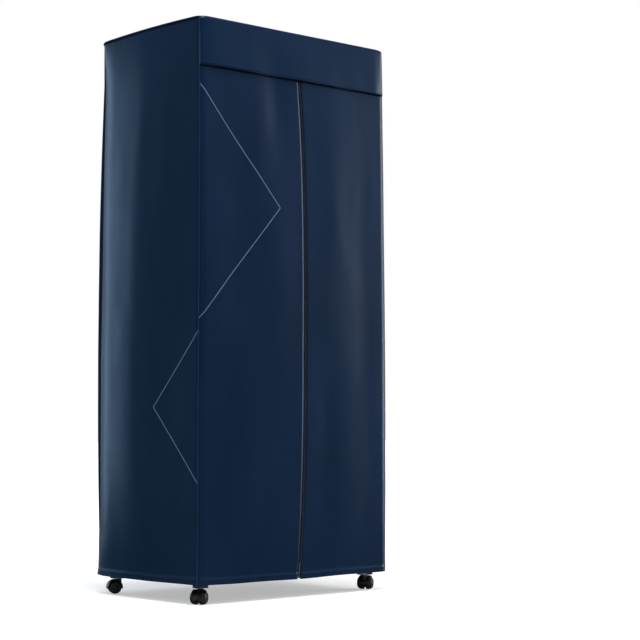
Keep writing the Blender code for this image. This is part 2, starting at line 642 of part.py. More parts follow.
def add_heater(frame, black, white, dark, metal, glass):
    heater = body_empty("heater", (0, HEATER_Y, HEATER_SEAT), frame)
    deck = TRAY_THICKNESS + SEAT_GAP
    neck = deck + HOUSING_STRAIGHT + SHOULDER_HEIGHT + SEAT_GAP
    motor_seat = BOWL_FLOOR - BOWL_DEPTH + PEDESTAL_HEIGHT + SEAT_GAP
    ledge = neck + TOWER_LEDGE + SEAT_GAP
    add_piece("heater_tray", tray_shape(), black, heater)
    add_piece("heater_housing", housing_shape(), white, heater, (0, 0, deck))
    add_piece("heater_panel", panel_shape(), dark, heater, (0, 0, deck))
    for name, x in (("key_power", -KEY_SPACING / 2), ("key_timer", KEY_SPACING / 2)):
        add_piece(name, key_shape(), dark, heater, (x, -KEY_FRONT, deck + KEY_LEVEL))
    add_piece("fan_motor", motor_shape(), metal, heater, (0, 0, motor_seat))
    hub = motor_seat + MOTOR_HEIGHT + MOTOR_NOSE_HEIGHT + SEAT_GAP
    add_piece("fan_impeller", impeller_shape(), black, heater, (0, 0, hub))
    add_piece("outlet_tower", tower_shape(), black, heater, (0, 0, neck))
    add_piece("heating_element", element_shape(), metal, heater, (0, 0, ledge))
    lamp_top = TOWER_HEIGHT - TOWER_LEDGE - SPIGOT_HEIGHT - SEAT_GAP * 2
    lamp = drum(LAMP_RADIUS, ELEMENT_FLANGE + SEAT_GAP, lamp_top, SMALL_SIDES)
    add_piece("lamp_tube", lamp, glass, heater, (0, -LAMP_REACH, ledge))
    add_piece("outlet_cap", cap_shape(), black, heater, (0, 0, neck + TOWER_HEIGHT + SEAT_GAP))


# Cover


def fold(along, up, count):
    """How far hung cloth is drawn in, at a share along and up it: soft folds that die out at its edges."""
    calm = math.sin(math.pi * along) * math.sqrt(abs(math.sin(math.pi * up)))
    wave = (1 - math.cos(2 * math.pi * (count * along + FOLD_LEAN_SHARE * up))) / 2
    return FOLD_DEPTH * calm * wave


def hung_cloth(stations, bottom, top, rows, folds):
    """Cloth hung along stations (a point and its outward direction in plan), drawn in by its folds."""
    shape = bmesh.new()
    bmesh.ops.create_grid(shape, x_segments=len(stations) - 1, y_segments=rows, size=1)
    for vert in shape.verts:
        along, up = (vert.co.x + 1) / 2, (vert.co.y + 1) / 2
        (x, y), (out_x, out_y) = stations[round(along * (len(stations) - 1))]
        drawn = fold(along, up, folds)
        vert.co = (x - out_x * drawn, y - out_y * drawn, bottom + (top - bottom) * up)
    shape.normal_update()
    middle = len(stations) // 2
    outward = Vector((*stations[middle][1], 0))
    if sum(face.normal.dot(outward) * face.calc_area() for face in shape.faces) < 0:
        bmesh.ops.reverse_faces(shape, faces=shape.faces)
    return shape


def thickened(shape):
    """Gives cloth its thickness, inwards from its outer face."""
    holder = holder_of(shape)
    modifier = holder.modifiers.new("Thickness", "SOLIDIFY")
    modifier.thickness = FABRIC
    modifier.offset = -1
    modifier.use_even_offset = True
    result = bmesh.new()
    result.from_object(holder, bpy.context.evaluated_depsgraph_get())
    mesh = holder.data
    bpy.data.objects.remove(holder)
    bpy.data.meshes.remove(mesh)
    return result


def side_stations(side):
    """Round a side panel in plan, from the rear corner to the front one: it wraps both corners."""
    x, y = COVER_WIDTH / 2 - CORNER_RADIUS, COVER_DEPTH / 2 - CORNER_RADIUS
    turns = [math.radians(90 - 90 * i / CORNER_TURNS) for i in range(CORNER_TURNS + 1)]
    rear = [((x, y), (math.cos(a), math.sin(a))) for a in turns]
    front = [((x, -y), (math.cos(a), -math.sin(a))) for a in reversed(turns)]
    flat = [((x, y - 2 * y * i / SIDE_STEPS), (1, 0)) for i in range(1, SIDE_STEPS)]
    stations = []
    for (px, py), (nx, ny) in rear + flat + front:
        stations.append(((side * (px + CORNER_RADIUS * nx), py + CORNER_RADIUS * ny), (side * nx, ny)))
    return stations


def straight_stations(start, end, y, outward, steps):
    return [((start + (end - start) * i / steps, y), (0, outward)) for i in range(steps + 1)]


def header_stations():
    """Across the front, standing proud, with both ends turned back over the corners."""
    y = -COVER_DEPTH / 2 - HEADER_PROUD
    x = COVER_WIDTH / 2 - CORNER_RADIUS + HEADER_LAP
    corner_y = CORNER_RADIUS - math.sqrt(CORNER_RADIUS**2 - HEADER_LAP**2)
    end_y = -COVER_DEPTH / 2 + corner_y - FABRIC - SEAT_GAP * 2
    lean = Vector((HEADER_PROUD, -HEADER_TURN)).normalized()
    row = straight_stations(HEADER_TURN - x, x - HEADER_TURN, y, -1, HEADER_STEPS)
    return [((-x, end_y), (-lean.x, lean.y)), *row, ((x, end_y), (lean.x, lean.y))]


def door_shape(side):
    """One door leaf from its hinge seam to the middle, with its half of the zip along the free edge."""
    hinge = side * HINGE_X
    free = ZIP_OFFSET + side * SEAT_GAP / 2
    front = -COVER_DEPTH / 2
    stations = straight_stations(hinge, free, front, -1, DOOR_STEPS)
    leaf = thickened(hung_cloth(stations, HEM_HEIGHT, DOOR_TOP, TALL_ROWS, DOOR_FOLDS))
    near, far = sorted((free, free + side * ZIP_WIDTH))
    bottom, top = HEM_HEIGHT + SEAT_GAP, DOOR_TOP - SEAT_GAP
    chain = block((near, front - ZIP_PROUD, bottom), (far, front + FABRIC / 2, top))
    return moved(combined(leaf, chain, "UNION"), x=-hinge, y=-front)


def slider_shape():
    """The zip slider in front of both halves of the zip, with its pull tab hanging from it."""
    body = rounded_rectangle(SLIDER_WIDTH, SLIDER_HEIGHT, SLIDER_WIDTH / 4, CORNER_STEPS)
    tab = rounded_rectangle(TAB_WIDTH, TAB_LENGTH, TAB_WIDTH / 4, CORNER_STEPS)
    hanging = prism(tab, SLIDER_THICKNESS - TAB_THICKNESS, SLIDER_THICKNESS)
    hanging = moved(hanging, y=TAB_WIDTH - (TAB_LENGTH + SLIDER_HEIGHT) / 2)
    return turned(combined(prism(body, 0, SLIDER_THICKNESS), hanging, "UNION"), 90, "X")


def add_cover(frame, cloth, trim):
    cover = body_empty("cover", (0, 0, 0), frame)
    for name, side in (("left", -1), ("right", 1)):
        panel = hung_cloth(side_stations(side), HEM_HEIGHT, COVER_TOP, TALL_ROWS, SIDE_FOLDS)
        add_piece(f"cover_side_{name}", thickened(panel), cloth, cover)
    stations = straight_stations(-HINGE_X, HINGE_X, COVER_DEPTH / 2, 1, BACK_STEPS)
    panel = hung_cloth(stations, HEM_HEIGHT, COVER_TOP, TALL_ROWS, BACK_FOLDS)
    add_piece("cover_back", thickened(panel), cloth, cover)
    header = hung_cloth(header_stations(), HEADER_BOTTOM, COVER_TOP, 1, 0)
    add_piece("cover_header", thickened(header), cloth, cover)
    outline = rounded_rectangle(COVER_WIDTH, COVER_DEPTH + HEADER_PROUD, CORNER_RADIUS, CORNER_TURNS)
    top = moved(prism(outline, COVER_TOP + SEAT_GAP, OVERALL_HEIGHT), y=-HEADER_PROUD / 2)
    add_piece("cover_top", top, cloth, cover)
    for name, side in (("left", -1), ("right", 1)):
        hinge = (side * HINGE_X, -COVER_DEPTH / 2, 0)
        leaf = add_piece(f"door_{name}", door_shape(side), cloth, cover, hinge)
        if side < 0:
            height = DOOR_TOP - SLIDER_DROP - SLIDER_HEIGHT / 2
            place = (ZIP_OFFSET - hinge[0], -ZIP_PROUD - SEAT_GAP, height)
            add_piece("zip_slider", slider_shape(), trim, leaf, place)


def main():
    clear_scene()
    chrome = finish("Chromed tube", (0.75, 0.76, 0.77), 0.12, 1.0)
    grey = finish("Grey-green moulding", (0.20, 0.26, 0.27), 0.5)
    black = finish("Black moulding", (0.015, 0.015, 0.017), 0.4)
    white = finish("White shell", (0.78, 0.78, 0.77), 0.35)
    dark = finish("Black gloss panel", (0.01, 0.01, 0.012), 0.15)
    metal = finish("Bare metal", (0.45, 0.46, 0.47), 0.4, 1.0)
    glass = finish("Lamp glass", (0.80, 0.82, 0.85), 0.1)
    cloth = finish("Dark blue cloth", (0.010, 0.022, 0.055), 0.7)
    trim = finish("Zip metal", (0.05, 0.055, 0.06), 0.4, 0.8)
    # The header stands proud of the front only, so the whole stands half of that behind the middle
    frame = body_empty("frame", (0, HEADER_PROUD / 2, 0))
    add_brackets(frame, grey)
    add_posts(frame, chrome)
    add_rails(frame, chrome)
    add_castors(frame, black)
    add_heater(frame, black, white, dark, metal, glass)
    add_cover(frame, cloth, trim)


main()
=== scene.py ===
# %% [markdown]
# # A portable clothes dryer, dressed in Blender
# The machine is a tube frame on castors with a fan heater low inside it. A zipped cover hangs over the frame.
# The CAD part gives every size and every moving body. This script adds what the CAD leaves out: cloth, seams, zip
# teeth, moulded edges and the finish of each surface. It reads the part once.

# %% Load the part
import json
import math

import bmesh
import bpy
from mathutils import Matrix, Vector, noise

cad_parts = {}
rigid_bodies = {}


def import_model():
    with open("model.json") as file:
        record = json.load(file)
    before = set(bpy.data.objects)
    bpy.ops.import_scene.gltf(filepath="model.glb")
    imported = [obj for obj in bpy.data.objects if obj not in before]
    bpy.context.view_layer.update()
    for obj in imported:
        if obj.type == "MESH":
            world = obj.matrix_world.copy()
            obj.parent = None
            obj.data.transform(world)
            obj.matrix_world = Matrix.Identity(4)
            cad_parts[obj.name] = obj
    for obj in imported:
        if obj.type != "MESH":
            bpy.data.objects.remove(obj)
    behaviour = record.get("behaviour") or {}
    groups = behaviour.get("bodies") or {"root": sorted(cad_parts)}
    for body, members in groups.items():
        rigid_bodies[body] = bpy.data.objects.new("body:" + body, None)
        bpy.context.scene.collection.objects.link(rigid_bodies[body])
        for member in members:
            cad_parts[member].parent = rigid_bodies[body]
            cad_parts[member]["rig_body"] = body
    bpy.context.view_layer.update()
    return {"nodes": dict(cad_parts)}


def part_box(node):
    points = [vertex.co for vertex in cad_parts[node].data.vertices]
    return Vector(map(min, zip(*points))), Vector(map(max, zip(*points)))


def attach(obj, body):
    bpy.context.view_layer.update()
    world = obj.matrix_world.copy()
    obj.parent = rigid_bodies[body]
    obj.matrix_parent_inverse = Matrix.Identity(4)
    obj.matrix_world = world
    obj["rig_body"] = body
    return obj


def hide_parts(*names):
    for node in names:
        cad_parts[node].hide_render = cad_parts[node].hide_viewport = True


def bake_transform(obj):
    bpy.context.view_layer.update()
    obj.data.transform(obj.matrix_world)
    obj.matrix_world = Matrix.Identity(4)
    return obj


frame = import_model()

# %% [markdown]
# ## The camera
# The photographer stood front left of the cabinet, with the lens about half a metre above the floor and tipped up
# a little. A long lens keeps the uprights nearly parallel, so the frame is narrow and the camera is far away.

# %% Camera
CAMERA_AT = (-3.324, -4.087, 0.525)
CAMERA_TURN = (93.42, 0, -41.70)
FOCAL_LENGTH = 95.1
SENSOR = 36


def placed(name, data, at=(0, 0, 0), turn=(0, 0, 0)):
    """Links a new object that holds the data."""
    obj = bpy.data.objects.new(name, data)
    obj.location = at
    obj.rotation_euler = turn
    bpy.context.scene.collection.objects.link(obj)
    return obj


lens = bpy.data.cameras.new("long_lens")
lens.lens = FOCAL_LENGTH
lens.sensor_width = SENSOR
bpy.context.scene.camera = placed("camera", lens, CAMERA_AT, [math.radians(angle) for angle in CAMERA_TURN])
bpy.context.scene.view_settings.view_transform = "Standard"
print("camera", round(math.dist(CAMERA_AT, (0, 0, 0)), 2), "m from the cabinet")

# %% [markdown]
# ## Colours and node helpers
# Colours are read off with an eyedropper as values from 0 to 255, but a shader works in linear light. One helper
# converts them. The others keep the node trees short: each method adds one node and returns what comes out of it.

# %% Colours and node helpers
def linear(red, green, blue):
    """A colour from 0 to 255, as linear light with full opacity."""
    shares = [value / 255 for value in (red, green, blue)]
    light = [share / 12.92 if share <= 0.04045 else ((share + 0.055) / 1.055) ** 2.4 for share in shares]
    return (*light, 1.0)


class Nodes:
    """The node tree of a material or a world. Every value may be a number, a colour or a socket."""

    def __init__(self, owner):
        owner.use_nodes = True
        self.owner = owner
        self.tree = owner.node_tree

    def put(self, node, values):
        """Gives a node's sockets, by name or number, their values."""
        for socket, value in values.items():
            if isinstance(value, bpy.types.NodeSocket):
                self.tree.links.new(value, node.inputs[socket])
            else:
                node.inputs[socket].default_value = value

    def add(self, kind, values=None, **settings):
        node = self.tree.nodes.new("ShaderNode" + kind)
        for setting, value in settings.items():
            setattr(node, setting, value)
        self.put(node, values or {})
        return node

    def reckon(self, operation, *values):
        return self.add("Math", dict(enumerate(values)), operation=operation).outputs[0]

    def product(self, *values):
        return self.reckon("MULTIPLY", *values)

    def vector(self, operation, *values, result=0):
        return self.add("VectorMath", dict(enumerate(values)), operation=operation).outputs[result]

    def between(self, share, first, second):
        """Mixes two colours by a share."""
        return self.add("Mix", {"Factor": share, 6: first, 7: second}, data_type="RGBA").outputs[2]

    def ramp(self, source, low, high, start=0.0, end=1.0):
        """Takes the range from low to high on to start to end, and holds it there."""
        values = {"Value": source, "From Min": low, "From Max": high, "To Min": start, "To Max": end}
        return self.add("MapRange", values).outputs[0]

    def speckle(self, where, scale, detail=2.0, roughness=0.5):
        """The value of noise at the coordinates where."""
        values = {"Vector": where, "Scale": scale, "Detail": detail, "Roughness": roughness}
        return self.add("TexNoise", values).outputs["Fac"]


class Finish(Nodes):
    """A material with its main shader, and more of that shader's sockets by name."""

    def __init__(self, name, colour, roughness, sockets=None):
        super().__init__(bpy.data.materials.new(name))
        self.owner.diffuse_color = colour
        self.shader = self.tree.nodes["Principled BSDF"]
        self.set({"Base Color": colour, "Roughness": roughness, **(sockets or {})})

    def set(self, sockets):
        self.put(self.shader, sockets)

    def spot(self):
        """The object's own coordinates."""
        return self.add("TexCoord").outputs["Object"]

    def raised(self, height, distance, strength=1.0, under=None):
        """A bump of that height in metres on the shader's normal; under is another bump that it sits on."""
        values = {"Strength": strength, "Distance": distance, "Height": height}
        if under is not None:
            values["Normal"] = under
        normal = self.add("Bump", values).outputs[0]
        self.set({"Normal": normal})
        return normal


print("a navy cloth in linear light:", [round(value, 4) for value in linear(17, 38, 65)])

# %% [markdown]
# ## Making a piece
# Each piece is shaped in a bmesh, written to a mesh at the origin, given its material and told which body it rides
# on. A piece that stands for a CAD node hides that node. Edges sharper than a set angle stay crisp, the rest shade
# smoothly, so a bevelled moulding looks moulded.

# %% Piece helpers
SMOOTH_TO = math.radians(38)
MERGE = 1e-6
HANDFUL = 12


def settle(name, shape, finish):
    """Turns a bmesh into an object at the origin, with one finish or a list of them."""
    mesh = bpy.data.meshes.new(name)
    shape.to_mesh(mesh)
    shape.free()
    for one in finish if isinstance(finish, list) else [finish]:
        mesh.materials.append(one.owner)
    mesh.shade_smooth()
    mesh.set_sharp_from_angle(angle=SMOOTH_TO)
    return placed(name, mesh)


def belong(obj, body, stands_for=()):
    """Lets an object ride on a body, and stand for the CAD nodes that it names."""
    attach(obj, body)
    if stands_for:
        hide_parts(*stands_for)
    return obj


def piece(name, shape, finish, body, stands_for=()):
    """A finished piece on its body."""
    return belong(settle(name, shape, finish), body, stands_for)


def outward(shape):
    """Merges doubles and turns all faces outwards."""
    bmesh.ops.remove_doubles(shape, verts=shape.verts, dist=MERGE)
    bmesh.ops.recalc_face_normals(shape, faces=shape.faces)
    return shape


def tube_along(name, points, radius, finish, sides=8, ring=False):
    """A round bead swept along points, as a mesh object."""
    path = bpy.data.curves.new(name, "CURVE")
    path.dimensions = "3D"
    path.bevel_depth = radius
    path.bevel_resolution = sides // 2 - 2
    path.use_fill_caps = not ring
    line = path.splines.new("POLY")
    line.points.add(len(points) - 1)
    for point, place in zip(line.points, points):
        point.co = (*place, 1)
    line.use_cyclic_u = ring
    holder = placed(name + "_path", path)
    mesh = bpy.data.meshes.new_from_object(holder.evaluated_get(bpy.context.evaluated_depsgraph_get()))
    bpy.data.objects.remove(holder)
    mesh.name = name
    mesh.materials.clear()
    mesh.materials.append(finish.owner)
    mesh.shade_smooth()
    return placed(name, mesh)


def small_balls(places):
    """A ball of few faces, stretched and set down by each matrix. Handfuls are made apart, because an operator
    walks its whole mesh each time."""
    whole = bmesh.new()
    held = bpy.data.meshes.new("handful")
    for first in range(0, len(places), HANDFUL):
        few = bmesh.new()
        for place in places[first : first + HANDFUL]:
            bmesh.ops.create_uvsphere(few, u_segments=6, v_segments=4, radius=1, matrix=place)
        few.to_mesh(held)
        few.free()
        whole.from_mesh(held)
    bpy.data.meshes.remove(held)
    return whole


print("piece helpers ready")

# %% [markdown]
# ## Floor, backdrop and light
# Product photographs stand on white that runs on without a horizon. The floor here is white where light falls on
# it and keeps the soft shadow under the cabinet. The white behind is a world that the camera and glass see whole.
# To the diffuse surfaces it is only a weak, even fill. Black flags stand round the set in that world, and only
# reflections see them: they draw the dark lines along a chromed tube. Three soft boxes light the set: two tall
# ones and one overhead.

# %% Floor and backdrop
WHITE = (1, 1, 1, 1)
FLOOR_HALF = 30
SHADOW_LEVEL, SHADOW_NEAR, SHADOW_FAR = 0.42, 0.75, 2.2
FLOOR_GAIN = 0.75
MIRRORED_FLOOR = 0.12
FILL_LEVEL = 0.42
# Each flag's direction and half width in degrees, and how high it reaches, as the upward part of a direction
FLAGS = ((129, 38, 2.0), (-51, 34, 0.14), (51, 16, 2.0), (-141, 14, 2.0))
FLAG_FADE = 0.08
FLAG_SOFT = 6
FLAG_LEVEL = 0.03
GAP_LOW, GAP_HIGH, GAP_FADE = 0.42, 0.85, 0.1


def past_flags(tree, way):
    """The share of light that comes from a direction past the black flags, and how far up the direction goes."""
    level_way = tree.vector("NORMALIZE", tree.vector("MULTIPLY", way, (1, 1, 0)))
    up = tree.add("SeparateXYZ", {0: way}).outputs[2]
    share = 1.0
    for turn, half, top in FLAGS:
        flag_way = (math.cos(math.radians(turn)), math.sin(math.radians(turn)), 0)
        toward = tree.vector("DOT_PRODUCT", level_way, flag_way, result="Value")
        edges = [math.cos(math.radians(half + soft)) for soft in (FLAG_SOFT, -FLAG_SOFT)]
        shade = tree.ramp(toward, *edges, 1.0, FLAG_LEVEL)
        share = tree.product(share, tree.reckon("MAXIMUM", shade, tree.ramp(up, top, top + FLAG_FADE)))
    return share, up


ground = Finish("studio_floor", (FLOOR_GAIN, FLOOR_GAIN, FLOOR_GAIN, 1), 1.0)
ground.set({"Specular IOR Level": 0.0, "Emission Color": WHITE})
rays = ground.add("LightPath").outputs
share, _ = past_flags(ground, ground.vector("MULTIPLY", ground.add("NewGeometry").outputs["Incoming"], (-1, -1, -1)))
hidden = ground.product(rays["Is Glossy Ray"], ground.reckon("SUBTRACT", 1.0, share))
mirrored = ground.product(rays["Is Glossy Ray"], ground.product(share, MIRRORED_FLOOR))
seen = ground.reckon("MAXIMUM", rays["Is Camera Ray"], mirrored)
seen = ground.reckon("MAXIMUM", seen, rays["Is Transmission Ray"])
reach = ground.vector("LENGTH", ground.spot(), result="Value")
glow = ground.ramp(reach, SHADOW_NEAR, SHADOW_FAR, SHADOW_LEVEL, 1.0)
ground.set({
    "Base Color": ground.product(ground.reckon("SUBTRACT", 1.0, hidden), FLOOR_GAIN),
    "Emission Strength": ground.product(seen, glow),
})
floor_shape = bmesh.new()
bmesh.ops.create_grid(floor_shape, x_segments=8, y_segments=8, size=FLOOR_HALF)
settle("floor", floor_shape, ground)

room = Nodes(bpy.data.worlds.new("white_room"))
bpy.context.scene.world = room.owner
rays = room.add("LightPath").outputs
share, up = past_flags(room, room.add("TexCoord").outputs["Generated"])
gap = room.product(room.ramp(up, GAP_LOW, GAP_LOW + GAP_FADE), room.ramp(up, GAP_HIGH, GAP_HIGH - GAP_FADE))
glossy = room.product(room.product(rays["Is Glossy Ray"], share), room.ramp(gap, 0.0, 1.0, 1.0, FLAG_LEVEL))
direct = room.reckon("MAXIMUM", rays["Is Camera Ray"], rays["Is Transmission Ray"])
other = room.reckon("SUBTRACT", 1.0, room.reckon("MAXIMUM", direct, rays["Is Glossy Ray"]))
strength = room.reckon("MULTIPLY_ADD", other, FILL_LEVEL, room.reckon("MAXIMUM", direct, glossy))
room.put(room.tree.nodes["Background"], {"Color": WHITE, "Strength": strength})

# %% Soft boxes
COOL = (0.50, 0.74, 1.0)


def soft_box(name, at, aim, size, watts, colour=(1, 1, 1)):
    """A rectangular lamp at a point, turned to shine at another."""
    lamp = bpy.data.lights.new(name, "AREA")
    lamp.shape = "RECTANGLE"
    lamp.size, lamp.size_y = size
    lamp.energy = watts
    lamp.color = colour
    placed(name, lamp, at, (Vector(aim) - Vector(at)).to_track_quat("-Z", "Y").to_euler())


soft_box("rear_left_box", (-1.25, 2.64, 1.2), (-0.365, 0.15, 0.9), (0.50, 2.3), 34, COOL)
soft_box("front_right_box", (2.9, -1.2, 1.3), (0.3, -0.25, 0.9), (0.6, 2.4), 85)
soft_box("overhead_box", (-0.6, -0.8, 4.2), (0, 0, 0.6), (1.7, 1.7), 170)
print("soft boxes:", [lamp.name for lamp in bpy.data.lights])

# %% [markdown]
# ## Cover cloth
# The cover is closely woven polyester with a faint satin gleam. The weave is half a millimetre, so it shows only
# close up: two sets of threads crossing over and under. Cloth coordinates are the piece's own UV map in metres,
# which makes the threads run with the cloth round every corner. Over the weave lie soft puckers and slow patches
# where the finish is a little duller, as on any cloth that was folded in a box.

# %% Cover cloth
NAVY, NAVY_LIGHT = linear(11, 29, 52), linear(14, 34, 58)
STRIPE_COLOUR = linear(114, 138, 165)
LINING_COLOUR, LINING_LIGHT = linear(30, 44, 64), linear(38, 53, 74)
THREAD_PITCH = 0.0006
STRIPE_HALF, STRIPE_FADE = 0.00065, 0.0003
CLOTH_GLEAM = 0.12


def cloth_coordinates(cloth):
    """The cloth's own coordinates in metres: the vector, along and up."""
    where = cloth.add("UVMap", uv_map="cloth").outputs[0]
    parts = cloth.add("SeparateXYZ", {0: where}).outputs
    return where, parts[0], parts[1]


def stretched(cloth, where, along, up):
    """The cloth coordinates scaled differently along and up."""
    return cloth.add("Mapping", {"Vector": where, "Scale": (along, up, 1)}).outputs[0]


def threads(cloth, way, pitch=THREAD_PITCH):
    """A wave from thread to thread along one of the cloth coordinates."""
    return cloth.reckon("SINE", cloth.product(way, math.tau / pitch))


def weave_height(cloth, along, up):
    """Threads over and under: a chequer of rounded crossings, from 0 to 1."""
    return cloth.reckon("MULTIPLY_ADD", cloth.product(threads(cloth, along), threads(cloth, up)), 0.5, 0.5)


def stripe_share(cloth, along, up, apex, slope, reach, side):
    """1 on a thin line that runs to an apex and back, else 0. side is the way from the apex to the open ends."""
    rise = cloth.reckon("ABSOLUTE", cloth.reckon("SUBTRACT", up, apex[1]))
    run = cloth.product(cloth.reckon("SUBTRACT", along, apex[0]), side * slope)
    off = cloth.reckon("ABSOLUTE", cloth.reckon("SUBTRACT", rise, run))
    off_line = cloth.product(off, math.cos(math.atan(slope)))
    line = cloth.ramp(off_line, STRIPE_HALF, STRIPE_HALF + STRIPE_FADE, 1.0, 0.0)
    return cloth.product(line, cloth.reckon("LESS_THAN", rise, reach))


def cover_cloth(name, stripe=None):
    """The navy cloth, with a printed line where stripe gives its apex, slope, reach and side."""
    cloth = Finish(name, NAVY, 0.28, {"Specular IOR Level": CLOTH_GLEAM, "Specular Tint": linear(160, 205, 255)})
    where, along, up = cloth_coordinates(cloth)
    patches = cloth.speckle(stretched(cloth, where, 1.0, 0.55), 5.0, 3.0, 0.55)
    colour = cloth.between(cloth.ramp(patches, 0.35, 0.7), NAVY, NAVY_LIGHT)
    if stripe:
        colour = cloth.between(stripe_share(cloth, along, up, **stripe), colour, STRIPE_COLOUR)
    cloth.set({"Base Color": colour, "Roughness": cloth.ramp(patches, 0.3, 0.75, 0.31, 0.285)})
    soft = cloth.speckle(stretched(cloth, where, 1.0, 0.45), 12.0, 2.0, 0.4)
    under = cloth.raised(soft, 0.0016, 0.25)
    pucker = cloth.add("Attribute", attribute_name="pucker").outputs["Fac"]
    drawn = cloth.speckle(stretched(cloth, where, 0.25, 1.0), 95.0, 2.0, 0.45)
    under = cloth.raised(cloth.product(drawn, pucker), 0.0008, 0.5, under)
    cloth.raised(weave_height(cloth, along, up), 0.0001, 0.35, under)
    return cloth


plain_cloth = cover_cloth("cover_cloth")

lining = Finish("cover_lining", LINING_COLOUR, 0.75, {"Specular IOR Level": 0.15})
where, along, up = cloth_coordinates(lining)
lining.set({"Base Color": lining.between(lining.speckle(where, 9.0, 3.0), LINING_COLOUR, LINING_LIGHT)})
lining.raised(weave_height(lining, along, up), 0.0001, 0.4)
print("cloth finishes:", plain_cloth.owner.name, lining.owner.name)

# %% [markdown]
# ## How the cover stands round the frame
# Seen from above, the cover is a rounded rectangle. A list of stations goes once round it, each with its place,
# the way it faces and its distance along the cloth. Every sheet, seam and hem is then a part of that one walk, so
# all of them meet. The cloth isn't a perfect box: it fills out over the corners and the front, and it is drawn in
# near the top.

# %% The walk round the cover
low_side, high_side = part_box("cover_side_right")
low_slider, high_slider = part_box("zip_slider")
low_door, high_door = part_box("door_left")

HALF_WIDTH = high_side.x
FRONT_Y = low_side.y
REAR_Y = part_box("cover_back")[1].y
DEPTH = REAR_Y - FRONT_Y
HEM_Z, TOP_Z = low_side.z, high_side.z
DOOR_TOP_Z = high_door.z
HEADER_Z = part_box("cover_header")[0].z
ZIP_X = (low_slider.x + high_slider.x) / 2
CORNER_RADIUS = 0.018
ARC_STEPS = 9
SEAM_STEP = 6
CLOTH_STEP = 0.010
FINE_STEP = 0.006


def walk(corners, steps):
    """Stations (place, facing, distance) along straight stretches joined by quarter arcs."""
    spots = []
    ways = [(end - start).normalized() for start, end in zip(corners, corners[1:])]
    for number, (way, after, step) in enumerate(zip(ways, ways[1:] + [-ways[-2]], steps)):
        last = number == len(ways) - 1
        start = corners[number] + way * (CORNER_RADIUS if number else 0)
        end = corners[number + 1] - way * (0 if last else CORNER_RADIUS)
        count = max(1, round((end - start).length / step))
        spots += [(start.lerp(end, share / count), -after) for share in range(count + 1)]
        for turned in range(1, 1 if last else ARC_STEPS):
            angle = math.radians(90) * turned / ARC_STEPS
            arm = -after * math.cos(angle) + way * math.sin(angle)
            spots.append((end + after * CORNER_RADIUS + arm * CORNER_RADIUS, arm))
    stations = []
    distance = 0
    for number, (place, facing) in enumerate(spots):
        distance += (place - spots[number - 1][0]).length if number else 0
        stations.append((place, facing, distance))
    return stations


plan = (0, FRONT_Y), (-HALF_WIDTH, FRONT_Y), (-HALF_WIDTH, REAR_Y), (HALF_WIDTH, REAR_Y), (HALF_WIDTH, FRONT_Y)
corners = [Vector((x, y, 0)) for x, y in (*plan, plan[0])]
stations = walk(corners, (FINE_STEP, CLOTH_STEP, CLOTH_STEP, CLOTH_STEP, FINE_STEP))
first_arc = round((HALF_WIDTH - CORNER_RADIUS) / FINE_STEP)
LEFT_SEAM = first_arc + SEAM_STEP
RIGHT_SEAM = len(stations) - 1 - LEFT_SEAM
left_front = stations[: LEFT_SEAM + 1]
right_front = stations[RIGHT_SEAM:]
wrap = stations[LEFT_SEAM : RIGHT_SEAM + 1]
print("round the cover:", round(stations[-1][2], 3), "m in", len(stations), "stations")

# %% How the cloth fills out
# How far each corner stands out at the top, half way and at the hem
CORNER_FULLNESS = {
    "front_left": (0.001, 0.002, 0.001),
    "rear_left": (0.005, 0.0245, 0.013),
    "rear_right": (0.003, 0.007, 0.005),
    "front_right": (0.002, 0.010, 0.011),
}
FRONT_SWELL = 0.008
PANEL_SWELL = 0.004
ZIP_BOW = 0.018
CREASE_AT, CREASE_ROUND = 0.050, 0.022
CREASE_FRONT, CREASE_REAR = 0.030, 0.080
TUCK_DEPTH, TUCK_REACH = 0.007, 0.034
RIPPLE = 0.0011
# Soft folds of the doors: the middle's x and z, the half width and half height, and how far each stands out
DOOR_FOLDS = (
    (-0.150, 1.300, 0.060, 0.260, 0.0030),
    (-0.085, 1.480, 0.045, 0.120, -0.0040),
    (-0.085, 0.950, 0.050, 0.240, 0.0024),
    (-0.240, 1.080, 0.055, 0.300, -0.0020),
    (-0.200, 0.420, 0.080, 0.260, 0.0020),
    (0.130, 1.150, 0.055, 0.420, 0.0020),
    (0.270, 0.800, 0.050, 0.500, -0.0022),
    (0.090, 0.480, 0.050, 0.250, -0.0018),
)


def held(share):
    """A share kept between 0 and 1."""
    return min(1, max(0, share))


def share_up(z):
    """How far up the cover a height is, from 0 at the hem to 1 at the top."""
    return held((z - HEM_Z) / (TOP_Z - HEM_Z))


def arched(top, middle, bottom, share):
    """A smooth value through three: at the bottom, half way and at the top."""
    ends = bottom * ((1 - share) * (1 - 2 * share)) + 4 * middle * share * (1 - share)
    return ends + top * (share * (2 * share - 1))


def eased(share):
    """A share turned into a smooth step."""
    share = held(share)
    return share * share * (3 - 2 * share)


def bump(distance, reach):
    """1 at no distance, falling away like a bell over that reach."""
    return math.exp(-((distance / reach) ** 2))


def corner_pull(place, z):
    """The outward offset that the four corners give a point, shared smoothly between them."""
    right = eased((place.x / HALF_WIDTH + 1) / 2)
    rear = eased((place.y - FRONT_Y) / DEPTH)
    offset = 0
    for corner, fullness in CORNER_FULLNESS.items():
        near = (right if "right" in corner else 1 - right) * (rear if "rear" in corner else 1 - rear)
        offset += near * arched(*fullness, share_up(z))
    return offset


